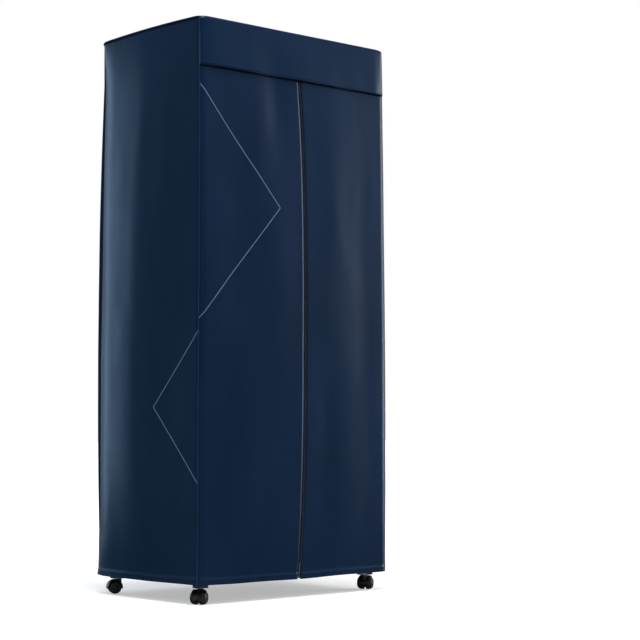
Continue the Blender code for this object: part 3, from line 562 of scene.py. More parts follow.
def crease(place, z):
    """A long soft fold that runs down the left side, a third of the way from the rear."""
    if place.x > 0:
        return 0
    off = place.y - (CREASE_AT + 0.012 * math.sin(3.1 * z + 0.4) + 0.004 * math.sin(11 * z))
    mean, lean = (CREASE_REAR + CREASE_FRONT) / 2, (CREASE_REAR - CREASE_FRONT) / 2
    fold = lean * off + mean * (math.hypot(off, CREASE_ROUND) - CREASE_ROUND)
    return -fold * math.sin(math.pi * share_up(z)) ** 0.5


def tuck(place):
    """How far the cloth is drawn in towards the two rear corners, where no post fills them."""
    if place.y < 0:
        return 0
    return -TUCK_DEPTH * bump(math.hypot(HALF_WIDTH - abs(place.x), REAR_Y - place.y), TUCK_REACH)


def ripple(place, z):
    """Slow waves in the cloth, longer up than across."""
    where = Vector((place.x * 7, place.y * 7, z * 2.6))
    return noise.noise(where) * RIPPLE + noise.noise(where * 2.7 + Vector((3, 5, 7))) * RIPPLE * 0.4


def door_folds(x, z):
    """The soft folds of the closed doors."""
    return sum(depth * bump(x - at_x, wide) * bump(z - at_z, tall) for at_x, at_z, wide, tall, depth in DOOR_FOLDS)


def outward_of(place, facing, z):
    """How far the cloth stands off the plain rounded rectangle at that place and height."""
    height = share_up(z)
    belly = math.sin(math.pi * height)
    offset = corner_pull(place, z) + tuck(place) * min(1, 4 * belly)
    offset += ripple(place, z) * min(1, 6 * (1 - height))
    if facing.y < -0.5:
        across = math.cos(math.pi / 2 * min(1, abs(place.x) / HALF_WIDTH))
        offset += FRONT_SWELL * belly * across + door_folds(place.x, z)
    elif abs(facing.x) > 0.5:
        across = math.cos(math.pi * min(0.5, abs(place.y - (FRONT_Y + REAR_Y) / 2) / DEPTH))
        offset += PANEL_SWELL * belly * across + crease(place, z)
    return offset


def top_height(place):
    """The height of the top seam: it lifts a little along the left side and drops at the corners."""
    lift = 0.0045 * math.cos(math.pi * min(0.5, abs(place.y) / DEPTH)) * eased(-place.x / HALF_WIDTH)
    from_corner = math.hypot(HALF_WIDTH - abs(place.x), min(place.y - FRONT_Y, REAR_Y - place.y))
    drop = 0.005 * bump(from_corner, 0.018)
    near_front_left = place.x < 0 and place.y < 0
    return TOP_Z + lift - (drop * 0.3 if near_front_left else drop)


def hem_height(place):
    """The hem's height: it hangs with a slow wave of a millimetre or two."""
    corner = 0.004 * bump(math.hypot(place.x + HALF_WIDTH, place.y - REAR_Y), 0.03)
    wave = 0.0012 * math.sin(9 * place.x + 5 * place.y) + 0.0007 * math.sin(23 * place.x - 17 * place.y)
    return HEM_Z + wave + corner


def on_cloth(station, z, proud=0.0):
    """The point of the cloth at a station and height, that far proud of it."""
    place, facing, _ = station
    spot = place + facing * (outward_of(place, facing, z) + proud)
    return Vector((spot.x, spot.y, z))


belly_at_zip = outward_of(Vector((0, FRONT_Y, 0)), Vector((0, -1, 0)), (HEM_Z + TOP_Z) / 2)
print("half way up, the front stands", round(1000 * belly_at_zip, 1), "mm off the frame")

# %% [markdown]
# ## Sheets
# A sheet starts as a grid. Its columns are stations of the walk and its rows are heights, closer together at the
# hem. A Solidify modifier gives it the millimetre of thickness that shows at a free edge, with the lining inside.
# The doors' sheets are set where they hang closed and ride on no body.

# %% Sheet helpers
CLOTH = 0.0009
HEM_DEPTH = 0.018
HEM_STEP = 0.0006
PUCKER_REACH = 0.022
SIDES = ("left", "right")


def heights(low, high, step):
    """Row heights from the hem up: close together over the hem's fold, then even."""
    rows = [low + height for height in (0, 0.0012, 0.006, 0.012, HEM_DEPTH - 0.0006, HEM_DEPTH + 0.0006, 0.026)]
    count = max(2, round((high - rows[-1]) / step))
    return rows + [rows[-1] + (high - rows[-1]) * number / count for number in range(1, count + 1)]


def cloth_grid(columns, rows, place_at):
    """A grid of cloth; place_at(column, row) gives (point, distance along, pucker)."""
    shape = bmesh.new()
    bmesh.ops.create_grid(shape, x_segments=columns - 1, y_segments=rows - 1, size=0.5)
    cloth = shape.loops.layers.uv.new("cloth")
    pucker = shape.verts.layers.float.new("pucker")
    along = {}
    for vertex in shape.verts:
        column = round((vertex.co.x + 0.5) * (columns - 1))
        row = round((vertex.co.y + 0.5) * (rows - 1))
        vertex.co, distance, vertex[pucker] = place_at(column, row)
        along[vertex] = (distance, vertex.co.z)
    for face in shape.faces:
        for corner in face.loops:
            corner[cloth].uv = along[corner.vert]
    bmesh.ops.reverse_faces(shape, faces=shape.faces)
    return shape


def backed(obj, thickness=CLOTH):
    """Gives a sheet its thickness, with the second material inside."""
    solidify = obj.modifiers.new("thickness", "SOLIDIFY")
    solidify.thickness = thickness
    solidify.offset = -1
    solidify.material_offset = len(obj.data.materials) - 1
    solidify.material_offset_rim = 0
    return obj


def cover_sheet(name, shape, stands_for=(), outside=plain_cloth):
    """A lined sheet of the cover."""
    return backed(piece(name, shape, [outside, lining], "cover", stands_for))


def drawn_at(*distances):
    """How strongly seams at these distances pull the cloth into small folds, from 0 to 1."""
    return max(bump(distance, PUCKER_REACH) for distance in distances)


def swing(obj, stands_for=()):
    """Hides the door's CAD node and keeps the piece where it is made, on no body; it doesn't bend it."""
    if stands_for:
        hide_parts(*stands_for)
    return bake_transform(obj)


# %% Sides and back
SIDE_APEX_Y, SIDE_APEX_Z = -0.0406, 0.5656
side_start = stations[first_arc + ARC_STEPS][2]
side_apex = (side_start + SIDE_APEX_Y - FRONT_Y - CORNER_RADIUS, SIDE_APEX_Z)
side_stripe = {"apex": side_apex, "slope": 1.127, "reach": 0.2290, "side": -1}
side_cloth = cover_cloth("cover_cloth_side", side_stripe)
wrap_shares = [row / (TOP_Z - HEM_Z) for row in heights(0, TOP_Z - HEM_Z, CLOTH_STEP)]


def wrap_point(column, row):
    station = wrap[column]
    bottom, top = hem_height(station[0]), top_height(station[0])
    z = bottom + (top - bottom) * wrap_shares[row]
    seams = (station[2] - wrap[0][2], wrap[-1][2] - station[2], top - z, z - bottom)
    return on_cloth(station, z, HEM_STEP if z - bottom < HEM_DEPTH else 0), station[2], drawn_at(*seams)


wrap_shape = cloth_grid(len(wrap), len(wrap_shares), wrap_point)
wrapped = ("cover_back", "cover_side_left", "cover_side_right")
sides = cover_sheet("cover_sides_and_back", wrap_shape, wrapped, side_cloth)

# %% Top
TOP_SAG = 0.003


def top_point(column, row):
    x = HALF_WIDTH * (2 * column / (top_columns - 1) - 1)
    y = FRONT_Y + DEPTH * row / (top_rows - 1)
    centre = Vector((math.copysign(HALF_WIDTH - CORNER_RADIUS, x), y, 0))
    centre.y = min(max(y, FRONT_Y + CORNER_RADIUS), REAR_Y - CORNER_RADIUS)
    arm = Vector((x, y, 0)) - centre
    if abs(x) > HALF_WIDTH - CORNER_RADIUS and arm.y and arm.length > CORNER_RADIUS:
        x, y = (centre + arm.normalized() * CORNER_RADIUS).xy
    edge = min(HALF_WIDTH - abs(x), y - FRONT_Y, REAR_Y - y)
    roll = math.exp(-edge / 0.004)
    sag = TOP_SAG * math.cos(math.pi / 2 * abs(x) / HALF_WIDTH) * (1 - roll)
    lifted = TOP_Z + (top_height(Vector((x, y, 0))) - TOP_Z) * math.exp(-edge / 0.08)
    z = lifted + 0.0018 * (1 - roll) - sag + noise.noise(Vector((x * 9, y * 9, 4))) * 0.0008
    spread = 1 + 0.004 * math.exp(-edge / 0.03)
    return Vector((x * spread, y * spread, z)), x, drawn_at(edge)


top_columns, top_rows = round(2 * HALF_WIDTH / CLOTH_STEP), round(DEPTH / CLOTH_STEP)
top_shape = cloth_grid(top_columns, top_rows, top_point)
bmesh.ops.reverse_faces(top_shape, faces=top_shape.faces)
for face in top_shape.faces:
    for corner in face.loops:
        corner[top_shape.loops.layers.uv["cloth"]].uv = corner.vert.co.xy
top_sheet = cover_sheet("cover_top_sheet", top_shape, ("cover_top",))
print("top:", round(2 * HALF_WIDTH, 3), "by", round(DEPTH, 3), "m of cloth")

# %% [markdown]
# ## Doors
# Two leaves close the front. Each is sewn to the corner and free at its other edge, where half of the zip is sewn
# on. The line of the zip bows a little to the right, because the right leaf is pulled tighter than the left.

# %% Doors
ZIP_GAP = 0.0055
door_stripe = {"apex": (0.085, 1.1607), "slope": 1.222, "reach": 0.357, "side": 1}


def zip_line(z):
    """The x of the closed zip at a height."""
    height = (z - HEM_Z) / (DOOR_TOP_Z - HEM_Z)
    return ZIP_X + ZIP_BOW * (1 - abs(2 * held(height) - 1) ** 4)


def door_spot(side, station, z, proud=0.0):
    """A point of a door: its free edge follows the zip, its sewn edge stays at the corner."""
    near = 1 - min(1, abs(station[0].x) / HALF_WIDTH)
    spot = on_cloth(station, z, proud)
    spot.x += (zip_line(z) + (ZIP_GAP if side == "right" else -ZIP_GAP)) * near**1.5
    return spot


def door_sheet(side, front, cloth):
    """One leaf of cloth from its corner seam to the zip."""
    rows = heights(HEM_Z, DOOR_TOP_Z, CLOTH_STEP * 0.8)
    seam_end, free_end = (front[-1][2], front[0][2]) if side == "left" else (front[0][2], front[-1][2])

    def point(column, row):
        station = front[column]
        z = rows[row]
        lifted = z + (hem_height(station[0]) - HEM_Z) * max(0, 1 - (z - HEM_Z) / 0.3)
        spot = door_spot(side, station, lifted, HEM_STEP if z - HEM_Z < HEM_DEPTH else 0)
        seams = (abs(station[2] - seam_end), abs(station[2] - free_end), z - HEM_Z, DOOR_TOP_Z - z)
        return spot, station[2], drawn_at(*seams)

    obj = settle(f"door_{side}_sheet", cloth_grid(len(front), len(rows), point), [cloth, lining])
    return swing(backed(obj), ("door_" + side,))


left_leaf = door_sheet("left", left_front, cover_cloth("cover_cloth_left_door", door_stripe))
right_leaf = door_sheet("right", right_front, plain_cloth)
print("door leaves:", round(left_front[-1][2], 3), "by", round(DOOR_TOP_Z - HEM_Z, 3), "m of cloth each")

# %% [markdown]
# ## Header
# A flap runs across the front above the doors and hides the top end of the zip. It is sewn in at the top and at
# both ends and hangs free below, a few millimetres in front of the doors, so its lower edge waves slightly and
# throws a thin shadow. Behind it a plain strip, the yoke, closes the opening between the doors and the top.

# %% Header and yoke
HEADER_PROUD = 0.0055
HEADER_ROWS, YOKE_ROWS = 22, 16
YOKE_BEHIND = 0.0045
YOKE_OVERLAP = 0.006

perimeter = stations[-1][2]
header_walk = [(place, facing, distance - perimeter) for place, facing, distance in right_front] + left_front[1:]


def header_point(column, row):
    station = header_walk[column]
    share = row / (HEADER_ROWS - 1)
    edge = min(station[2] - header_walk[0][2], header_walk[-1][2] - station[2])
    wave = 0.0006 * math.sin(21 * station[0].x + 1.0) + 0.0002 * math.sin(61 * station[0].x)
    low, high = HEADER_Z - 0.0010 + wave * 0.9, top_height(station[0])
    z = low + (high - low) * share
    hang = HEADER_PROUD * (0.55 + 0.45 * (1 - share)) + wave * (1 - share) * 1.4
    return on_cloth(station, z, 0.0008 + hang * (0.35 + 0.65 * eased(edge / 0.05))), station[2], drawn_at(high - z)


def yoke_point(column, row):
    station = header_walk[column]
    low, high = DOOR_TOP_Z - YOKE_OVERLAP, top_height(station[0]) - 0.0015
    z = low + (high - low) * row / (YOKE_ROWS - 1)
    return on_cloth(station, z, -YOKE_BEHIND), station[2], drawn_at(high - z)


header = cover_sheet("header_flap", cloth_grid(len(header_walk), HEADER_ROWS, header_point), ("cover_header",))
yoke = cover_sheet("header_yoke", cloth_grid(len(header_walk), YOKE_ROWS, yoke_point))
print("header:", round(2 * left_front[-1][2], 3), "by", round(TOP_Z - HEADER_Z, 3), "m of cloth")

# %% Corner flaps
FLAP_TOP, FLAP_FOOT, FLAP_HUG = 0.075, 0.0475, 0.0565
FLAP_GAP = 0.0016
FLAP_ROWS, FLAP_COLUMNS = 11, 29
FLAP_REACH = 0.075


def round_corner(corner, inward, reach, radius, share):
    """A point on an L with a rounded corner: down one side, round and along the other."""
    straight, arc = reach - radius, math.pi / 2 * radius
    gone = share * (2 * straight + arc)
    if gone < straight:
        return Vector((corner.x, corner.y + inward.y * (reach - gone), 0))
    if gone > straight + arc:
        return Vector((corner.x + inward.x * (gone - straight - arc + radius), corner.y, 0))
    turn = (gone - straight) / radius
    aside = Vector((inward.x * (1 - math.cos(turn)), inward.y * (1 - math.sin(turn)), 0))
    return Vector((corner.x, corner.y, 0)) + aside * radius


def corner_flap(name, side, end):
    """Cloth sewn inside the hem that slopes in to the foot of the corner's sleeve and keeps the cover in place."""
    low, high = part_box("bracket_lowest_" + side)
    inward = Vector((1 if side == "left" else -1, 1 if end == "front" else -1, 0))
    foot = Vector((low.x if side == "left" else high.x, low.y if end == "front" else high.y, 0)) - inward * FLAP_GAP
    edge = Vector((-inward.x * HALF_WIDTH, FRONT_Y if end == "front" else REAR_Y, 0)) + inward * 0.0022

    def point(column, row):
        share = column / (FLAP_COLUMNS - 1)
        z = FLAP_FOOT + (FLAP_TOP - FLAP_FOOT) * row / (FLAP_ROWS - 1) + 0.0008 * math.sin(9 * share + inward.x)
        spread = eased((z - FLAP_HUG) / (FLAP_TOP - FLAP_HUG))
        below = round_corner(foot, inward, 0.030, 0.009, share)
        spot = below.lerp(round_corner(edge, inward, 0.058, 0.016, share), spread)
        return Vector((spot.x, spot.y, z)), share * FLAP_REACH, drawn_at(FLAP_TOP - z)

    shape = cloth_grid(FLAP_COLUMNS, FLAP_ROWS, point)
    if inward.x * inward.y < 0:
        bmesh.ops.reverse_faces(shape, faces=shape.faces)
    return cover_sheet(name, shape)


flaps = [corner_flap(f"corner_flap_{end}_{side}", side, end) for end in ("front", "rear") for side in SIDES]
print("corner flaps:", len(flaps))

# %% [markdown]
# ## Seams, piping and stitches
# The panels are sewn together over a thin corded edge, called piping, which keeps the corners crisp. It runs down
# both front corners and round the top. It is one cord in two colours: a lighter copy down the left corner is a
# painted highlight, and a darker copy down the right corner and round the top is painted shade. Beside it, and along
# every hem, runs a row of stitches. One stitch is a few faces: a tiny stretched ball, repeated along the line at the
# pitch of a sewing machine.

# %% Piping and stitches
PIPING_RADIUS = 0.0016
STITCH_PITCH = 0.0042
STITCH_SIZE = (0.0015, 0.0003, 0.0003)
SEAM_OFFSET = 2
HEM_STITCH = HEM_DEPTH - 0.003
STITCH_PROUD = 0.0002


def twisted(name, colour, roughness, gleam, scale, twist, height, strength):
    """A thread or a cord whose turns show as fine slanting ridges."""
    cord = Finish(name, colour, roughness, {"Specular IOR Level": gleam})
    values = {"Vector": cord.spot(), "Scale": scale, "Distortion": twist}
    turns = cord.add("TexWave", values, bands_direction="DIAGONAL")
    cord.raised(turns.outputs["Fac"], height, strength)
    return cord, turns.outputs["Fac"]


def piping(name, colour):
    """A cord wrapped in cloth, with a painted highlight: its colour is a little lighter on its ridges."""
    cord, turns = twisted(name, colour, 0.42, 0.15, 420.0, 0.4, 0.0002, 0.6)
    # Painted highlight: the colour lightens where the turns rise
    cord.set({"Base Color": cord.between(turns, colour, (*[value * 1.25 for value in colour[:3]], 1.0))})
    return cord


# One cord in two copies: the lighter colour is a painted highlight, the darker colour is painted shade
painted_highlight_cord = piping("cover_piping", linear(26, 46, 78))
painted_shade_cord = piping("cover_piping_top", linear(9, 22, 40))
thread, _ = twisted("sewing_thread", linear(15, 34, 60), 0.5, 0.2, 900.0, 0.0, 0.0001, 0.5)


def levels(low, high, step=0.012):
    """Even heights from low to high."""
    count = max(1, round((high - low) / step))
    return [low + (high - low) * number / count for number in range(count + 1)]


def stitch_row(name, spots):
    """A row of stitches along (point, facing) spots, as one object."""
    places = []
    gone = 0.0
    for (start, facing), (end, _) in zip(spots, spots[1:]):
        stretch = (end - start).length
        way = (end - start).normalized()
        turn = Matrix((way, facing.cross(way), facing)).transposed().to_4x4()
        while gone < stretch:
            places.append(Matrix.Translation(start + way * gone) @ turn @ Matrix.Diagonal((*STITCH_SIZE, 1)))
            gone += STITCH_PITCH
        gone -= stretch
    return settle(name, small_balls(places), thread)


def sewn(obj, body="cover"):
    """A trim that is sewn to the cover or to a leaf of it."""
    return belong(obj, body)


# The left corner takes the cord with the painted highlight; the right corner takes the cord with painted shade
SEAMS = (("left", LEFT_SEAM, SEAM_OFFSET, painted_highlight_cord), ("right", RIGHT_SEAM, -SEAM_OFFSET, painted_shade_cord))
for side, seam, step, cord in SEAMS:
    bead = [on_cloth(stations[seam], z, 0.0007) for z in levels(HEM_Z + 0.001, top_height(stations[seam][0]))]
    sewn(tube_along(f"corner_piping_{side}", bead, PIPING_RADIUS, cord))
    beside = stations[seam + step]
    spots = [(on_cloth(beside, z, STITCH_PROUD), beside[1]) for z in levels(HEM_Z + 0.004, TOP_Z - 0.006)]
    sewn(stitch_row(f"corner_stitches_{side}", spots))

rim = [on_cloth(station, top_height(station[0]) + 0.0006, 0.0004) for station in stations[:-1]]
sewn(tube_along("top_piping", rim, PIPING_RADIUS, painted_shade_cord, ring=True))

hem_proud = HEM_STEP + STITCH_PROUD
hem_spots = [
    (on_cloth(station, hem_height(station[0]) + HEM_STITCH, hem_proud), station[1]) for station in wrap[1:-1]
]
sewn(stitch_row("hem_stitches", hem_spots))

# %% Door hems and the header's hem
for side, front in zip(SIDES, (left_front, right_front)):
    spots = [
        (door_spot(side, station, hem_height(station[0]) + HEM_STITCH, hem_proud), station[1]) for station in front
    ]
    swing(stitch_row(f"door_{side}_hem_stitches", spots))
    edge = front[1] if side == "left" else front[-2]
    spots = [(door_spot(side, edge, z, STITCH_PROUD), edge[1]) for z in levels(HEM_Z + 0.004, DOOR_TOP_Z - 0.004)]
    sewn(stitch_row(f"door_{side}_edge_stitches", spots), side + "_door")

header_spots = []
for column, station in enumerate(header_walk[3:-3], start=3):
    low_point = header_point(column, 0)[0]
    way = (header_point(column, 3)[0] - low_point).normalized()
    header_spots.append((low_point + way * 0.008 + station[1] * STITCH_PROUD, station[1]))
sewn(stitch_row("header_hem_stitches", header_spots))

# %% [markdown]
# ## The zip
# A long coil zip: two woven tapes, each with a row of small rounded teeth that hook into the other row. Each half
# belongs to its own leaf. The slider hangs just under the header with its pull, and it is a body of its own that
# runs down the whole chain.

# %% Zip halves
TOOTH_PITCH = 0.0030
TOOTH_REACH = 0.0022
TOOTH_ROUND = 0.0011
TAPE_NEAR, TAPE_FAR = 0.0006, 0.0125
TAPE_BEHIND = 0.0012
TAPE_THICK = 0.0006
RIB_PITCH = 0.0011

teeth_finish = Finish("zip_teeth", linear(20, 31, 42), 0.4, {"Specular IOR Level": 0.12})
teeth_finish.raised(teeth_finish.speckle(teeth_finish.spot(), 1400.0), 0.0001, 0.4)
# The tape is a dark woven tape, made darker still as painted shade in the gaps beside the teeth
tape_with_painted_shade = Finish("zip_tape", linear(8, 15, 25), 0.7, {"Specular IOR Level": 0.05})
tape_with_painted_shade.raised(threads(tape_with_painted_shade, cloth_coordinates(tape_with_painted_shade)[2], RIB_PITCH), 0.0002, 0.5)


def zip_front(z):
    """The y of the closed door's face at the zip."""
    return on_cloth(stations[0], z).y


def zip_half(side):
    """A woven tape and its row of teeth, on their leaf."""
    sign = 1 if side == "right" else -1
    rows = levels(HEM_Z + 0.001, DOOR_TOP_Z - 0.001, 0.009)
    steps = (TAPE_NEAR + (TAPE_FAR - TAPE_NEAR) * number / 4 for number in range(5))
    offsets = sorted((sign * step for step in steps), reverse=True)

    def point(column, row):
        z = rows[row]
        return Vector((zip_line(z) + offsets[column], zip_front(z) + TAPE_BEHIND, z)), offsets[column], 0

    tape = cloth_grid(len(offsets), len(rows), point)
    backed(piece(f"zip_tape_{side}", tape, tape_with_painted_shade, side + "_door"), TAPE_THICK)
    size = Matrix.Diagonal((TOOTH_REACH, TOOTH_ROUND * 0.9, TOOTH_ROUND, 1))
    places = []
    z = HEM_Z + 0.003 + (TOOTH_PITCH / 2 if side == "right" else 0)
    while z < DOOR_TOP_Z - 0.003:
        place = (zip_line(z) + sign * (TOOTH_REACH - 0.0005), zip_front(z) - 0.0003, z)
        places.append(Matrix.Translation(place) @ size)
        z += TOOTH_PITCH
    piece(f"zip_teeth_{side}", small_balls(places), teeth_finish, side + "_door")


for side in SIDES:
    zip_half(side)
print("teeth on each half:", int((DOOR_TOP_Z - HEM_Z) / TOOTH_PITCH))

# %% [markdown]
# ## What is cloth
# The cover is cut into six sheets and the four corner flaps.


print("sheets:", 6 + len(flaps))

# %% [markdown]
# ## Hard parts
# The CAD rounds a tube with twelve sides, to stay light. Here the same sizes are turned with four times as many, and
# the moulded pieces get the small radii that catch the light. The CAD's box of each piece gives its place and size,
# so the finished pieces stay where the frame holds them. Solids are joined and cut with booleans, as in the CAD.

# %% Solid helpers
ROUND_STEPS = 48
FINE_STEPS = 96
SMALL_STEPS = 24
SHARP_FROM = math.radians(34)
ALONG_X = Matrix.Rotation(math.radians(90), 4, "Y")
ALONG_Y = Matrix.Rotation(math.radians(-90), 4, "X")


def moved(x=0.0, y=0.0, z=0.0):
    """A matrix that moves by that much."""
    return Matrix.Translation((x, y, z))


def about_z(degrees):
    """A matrix that turns about the upright axis."""
    return Matrix.Rotation(math.radians(degrees), 4, "Z")


def spun(profile, steps=ROUND_STEPS, place=Matrix(), looped=False):
    """A profile of (radius, height) points turned once round Z and set down by a matrix, as a closed solid."""
    shape = bmesh.new()
    points = [shape.verts.new((radius, 0, height)) for radius, height in profile]
    pairs = list(zip(points, points[1:] + points[:1] if looped else points[1:]))
    line = points + [shape.edges.new(pair) for pair in pairs]
    bmesh.ops.spin(shape, geom=line, cent=(0, 0, 0), axis=(0, 0, 1), angle=math.tau, steps=steps, use_merge=True)
    shape.transform(place)
    return outward(shape)


def drum(radius, low, high, steps=ROUND_STEPS, place=Matrix(), bore=0.0):
    """A cylinder from low to high, or a tube if it has a bore."""
    if bore:
        return spun([(bore, low), (radius, low), (radius, high), (bore, high)], steps, place, looped=True)
    return spun([(0, low), (radius, low), (radius, high), (0, high)], steps, place)


def solid_block(shape, low, high):
    """Adds a block between two corners."""
    low, high = Vector(low), Vector(high)
    size = Matrix.Diagonal((*(high - low), 1))
    bmesh.ops.create_cube(shape, size=1, matrix=Matrix.Translation((low + high) / 2) @ size)


def rounded_box(low, high, radius=0.0, way=2, segments=5, place=Matrix()):
    """A block between two corners whose four edges along one axis are rounded."""
    shape = bmesh.new()
    solid_block(shape, low, high)
    if radius:
        along = [edge for edge in shape.edges if abs((edge.verts[0].co - edge.verts[1].co).normalized()[way]) > 0.9]
        rounding = {"offset": radius, "segments": segments, "affect": "EDGES", "profile": 0.5, "material": -1}
        bmesh.ops.bevel(shape, geom=along, **rounding)
    shape.transform(place)
    return shape


def gathered(*shapes):
    """Several solids as one bmesh, side by side."""
    held_mesh = bpy.data.meshes.new("held")
    whole = bmesh.new()
    for shape in shapes:
        shape.to_mesh(held_mesh)
        shape.free()
        whole.from_mesh(held_mesh)
    bpy.data.meshes.remove(held_mesh)
    return whole


def carved(solid, tool, operation="DIFFERENCE"):
    """One solid cut by, joined to or kept within another."""
    pair = []
    for shape in (solid, tool):
        mesh = bpy.data.meshes.new("carving")
        shape.to_mesh(mesh)
        shape.free()
        pair.append(placed("carving", mesh))
    cut = pair[0].modifiers.new("cut", "BOOLEAN")
    cut.object = pair[1]
    cut.operation = operation
    cut.solver = "EXACT"
    result = bmesh.new()
    result.from_object(pair[0], bpy.context.evaluated_depsgraph_get())
    for obj in pair:
        mesh = obj.data
        bpy.data.objects.remove(obj)
        bpy.data.meshes.remove(mesh)
    bmesh.ops.remove_doubles(result, verts=result.verts, dist=MERGE)
    return result


def edged(obj, width):
    """Rounds the sharp edges of a piece."""
    rounding = obj.modifiers.new("rounded", "BEVEL")
    rounding.width = width
    rounding.segments = 2
    rounding.limit_method = "ANGLE"
    rounding.angle_limit = SHARP_FROM
    rounding.harden_normals = True
    return obj


def body_of(node):
    """The name of the body that a CAD node belongs to."""
    return frame["nodes"][node]["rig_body"]


def finished(node, shape, finish, width=0.0):
    """A hard piece in place of a CAD node, with rounded edges."""
    obj = piece(node + "_finished", shape, finish, body_of(node), (node,))
    return edged(obj, width) if width else obj


def added(name, shape, finish, node, width=0.0):
    """A finer piece that goes with the hard one of a CAD node."""
    obj = piece(name, shape, finish, body_of(node))
    return edged(obj, width) if width else obj


def middle_of(node):
    """The centre of a CAD node's box."""
    low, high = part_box(node)
    return (Vector(low) + Vector(high)) / 2


print("left posts stand at x", round(middle_of("post_low_front_left").x, 4))

# %% [markdown]
# ## Finishes of the hard parts
# Moulded plastic is never quite even: it has a fine grain, and it is a little duller where hands and cloths have
# touched it. Chrome shows the studio, so it needs only faint smudges. All of these patterns are made from noise on
# the object's own coordinates, so they stay on the piece when it moves.


# %% Finishes of the hard parts
def shaded(colour, gain):
    """A colour made lighter or darker by that gain."""
    return (*[min(1, value * gain) for value in colour[:3]], 1.0)


def grained(name, colour, roughness, grain, tone=0.12, metallic=0.0, level=0.4, uneven=0.2):
    """A finish with a fine grain of that scale, with slow patches of tone and of uneven dullness."""
    made = Finish(name, colour, roughness, {"Metallic": metallic, "Specular IOR Level": level})
    spot = made.spot()
    slow = made.ramp(made.speckle(spot, 14.0, 4.0, 0.6), 0.3, 0.7)
    patches = made.speckle(spot, 45.0, 5.0, 0.65)
    dull = made.ramp(patches, 0.35, 0.75, roughness * (1 - uneven), roughness * (1 + uneven))
    tones = made.between(slow, shaded(colour, 1 - tone), shaded(colour, 1 + tone))
    made.set({"Base Color": tones, "Roughness": dull})
    made.raised(made.speckle(spot, grain, 2.0, 0.6), 0.00006, 0.5)
    return made


bracket_plastic = grained("bracket_plastic", linear(112, 127, 130), 0.42, 1500.0)
black_plastic = grained("black_moulding", linear(30, 30, 31), 0.42, 1400.0, level=0.35)
castor_plastic = grained("castor_plastic", linear(17, 17, 18), 0.38, 1300.0, level=0.3)
shell_white = grained("white_shell", linear(200, 202, 204), 0.30, 1600.0, 0.005, uneven=0.04)
key_black = grained("key_plastic", linear(38, 39, 41), 0.35, 1600.0)
fan_grey = grained("fan_plastic", linear(52, 53, 55), 0.45, 1400.0)
motor_steel = grained("motor_steel", linear(170, 172, 174), 0.37, 900.0, 0.08, 1.0)
fin_metal = grained("element_aluminium", linear(188, 186, 182), 0.36, 1100.0, 0.12, 1.0)
winding = grained("motor_winding", linear(150, 84, 44), 0.35, 1200.0, 0.2, 0.8)
filament = grained("lamp_filament", linear(120, 118, 114), 0.4, 900.0, 0.1, 1.0)
lens_finish = grained("display_lens", linear(44, 47, 50), 0.14, 900.0, 0.05)

chrome = Finish("chromed_tube", linear(205, 208, 211), 0.10, {"Metallic": 1.0})
smudge = chrome.speckle(chrome.spot(), 24.0, 6.0, 0.7)
chrome_tone = chrome.between(chrome.ramp(smudge, 0.4, 0.8), linear(208, 211, 214), linear(192, 194, 196))
chrome.set({"Base Color": chrome_tone, "Roughness": chrome.ramp(smudge, 0.42, 0.78, 0.07, 0.22)})
chrome.raised(chrome.speckle(chrome.spot(), 700.0, 3.0), 0.00002, 0.25)

tread = Finish("castor_wheel", linear(22, 22, 23), 0.5, {"Specular IOR Level": 0.3})
spot = tread.spot()
cells = {"Vector": spot, "Scale": 240.0, "Randomness": 1.0}
scuffs = tread.add("TexVoronoi", cells, feature="DISTANCE_TO_EDGE")
dust = tread.ramp(tread.speckle(spot, 70.0, 6.0, 0.7), 0.5, 0.8)
dusty = tread.between(dust, linear(18, 18, 19), linear(46, 45, 44))
tread.set({"Base Color": dusty, "Roughness": tread.ramp(dust, 0, 1, 0.42, 0.7)})
under = tread.raised(scuffs.outputs["Distance"], 0.00008, 0.4)
tread.raised(tread.speckle(spot, 1500.0), 0.00005, 0.4, under)

gloss = Finish("gloss_panel", linear(12, 12, 13), 0.12, {"Coat Weight": 0.6, "Coat Roughness": 0.04})
prints = gloss.speckle(gloss.spot(), 60.0, 6.0, 0.7)
gloss_tone = gloss.between(gloss.ramp(prints, 0.3, 0.8), linear(11, 11, 12), linear(18, 18, 19))
gloss.set({"Base Color": gloss_tone, "Roughness": gloss.ramp(prints, 0.45, 0.75, 0.10, 0.26)})
gloss.raised(gloss.speckle(gloss.spot(), 500.0), 0.00002, 0.2)

glass = Finish("lamp_glass", linear(226, 232, 236), 0.10, {"Transmission Weight": 0.85, "IOR": 1.46})
frost = glass.speckle(glass.spot(), 160.0, 4.0)
glass_tone = glass.between(frost, linear(214, 222, 230), linear(236, 240, 243))
glass.set({"Base Color": glass_tone, "Roughness": glass.ramp(frost, 0.4, 0.8, 0.08, 0.22)})
glass.raised(frost, 0.00003, 0.2)

enamel = Finish("zip_slider_enamel", linear(30, 36, 42), 0.3, {"Metallic": 0.6})
rubbed = enamel.ramp(enamel.speckle(enamel.spot(), 260.0, 4.0), 0.45, 0.7)
enamel.set({"Base Color": enamel.between(rubbed, linear(28, 34, 40), linear(96, 100, 104))})
enamel.raised(enamel.speckle(enamel.spot(), 900.0), 0.0001, 0.3)
print("finishes:", len(bpy.data.materials))

# %% Zip slider and its pull
SLIDER_EDGE = 0.0003
slider_top = high_slider.z - 0.001
slider_x = zip_line(slider_top - 0.01)


def slider_plate(half, front, back, foot, head, corner, segments=3):
    """A plate of the slider: its half width, its faces behind the back and its ends below the top."""
    low = (slider_x - half, high_slider.y - front, slider_top - foot)
    return rounded_box(low, (slider_x + half, high_slider.y - back, slider_top - head), corner, 1, segments)


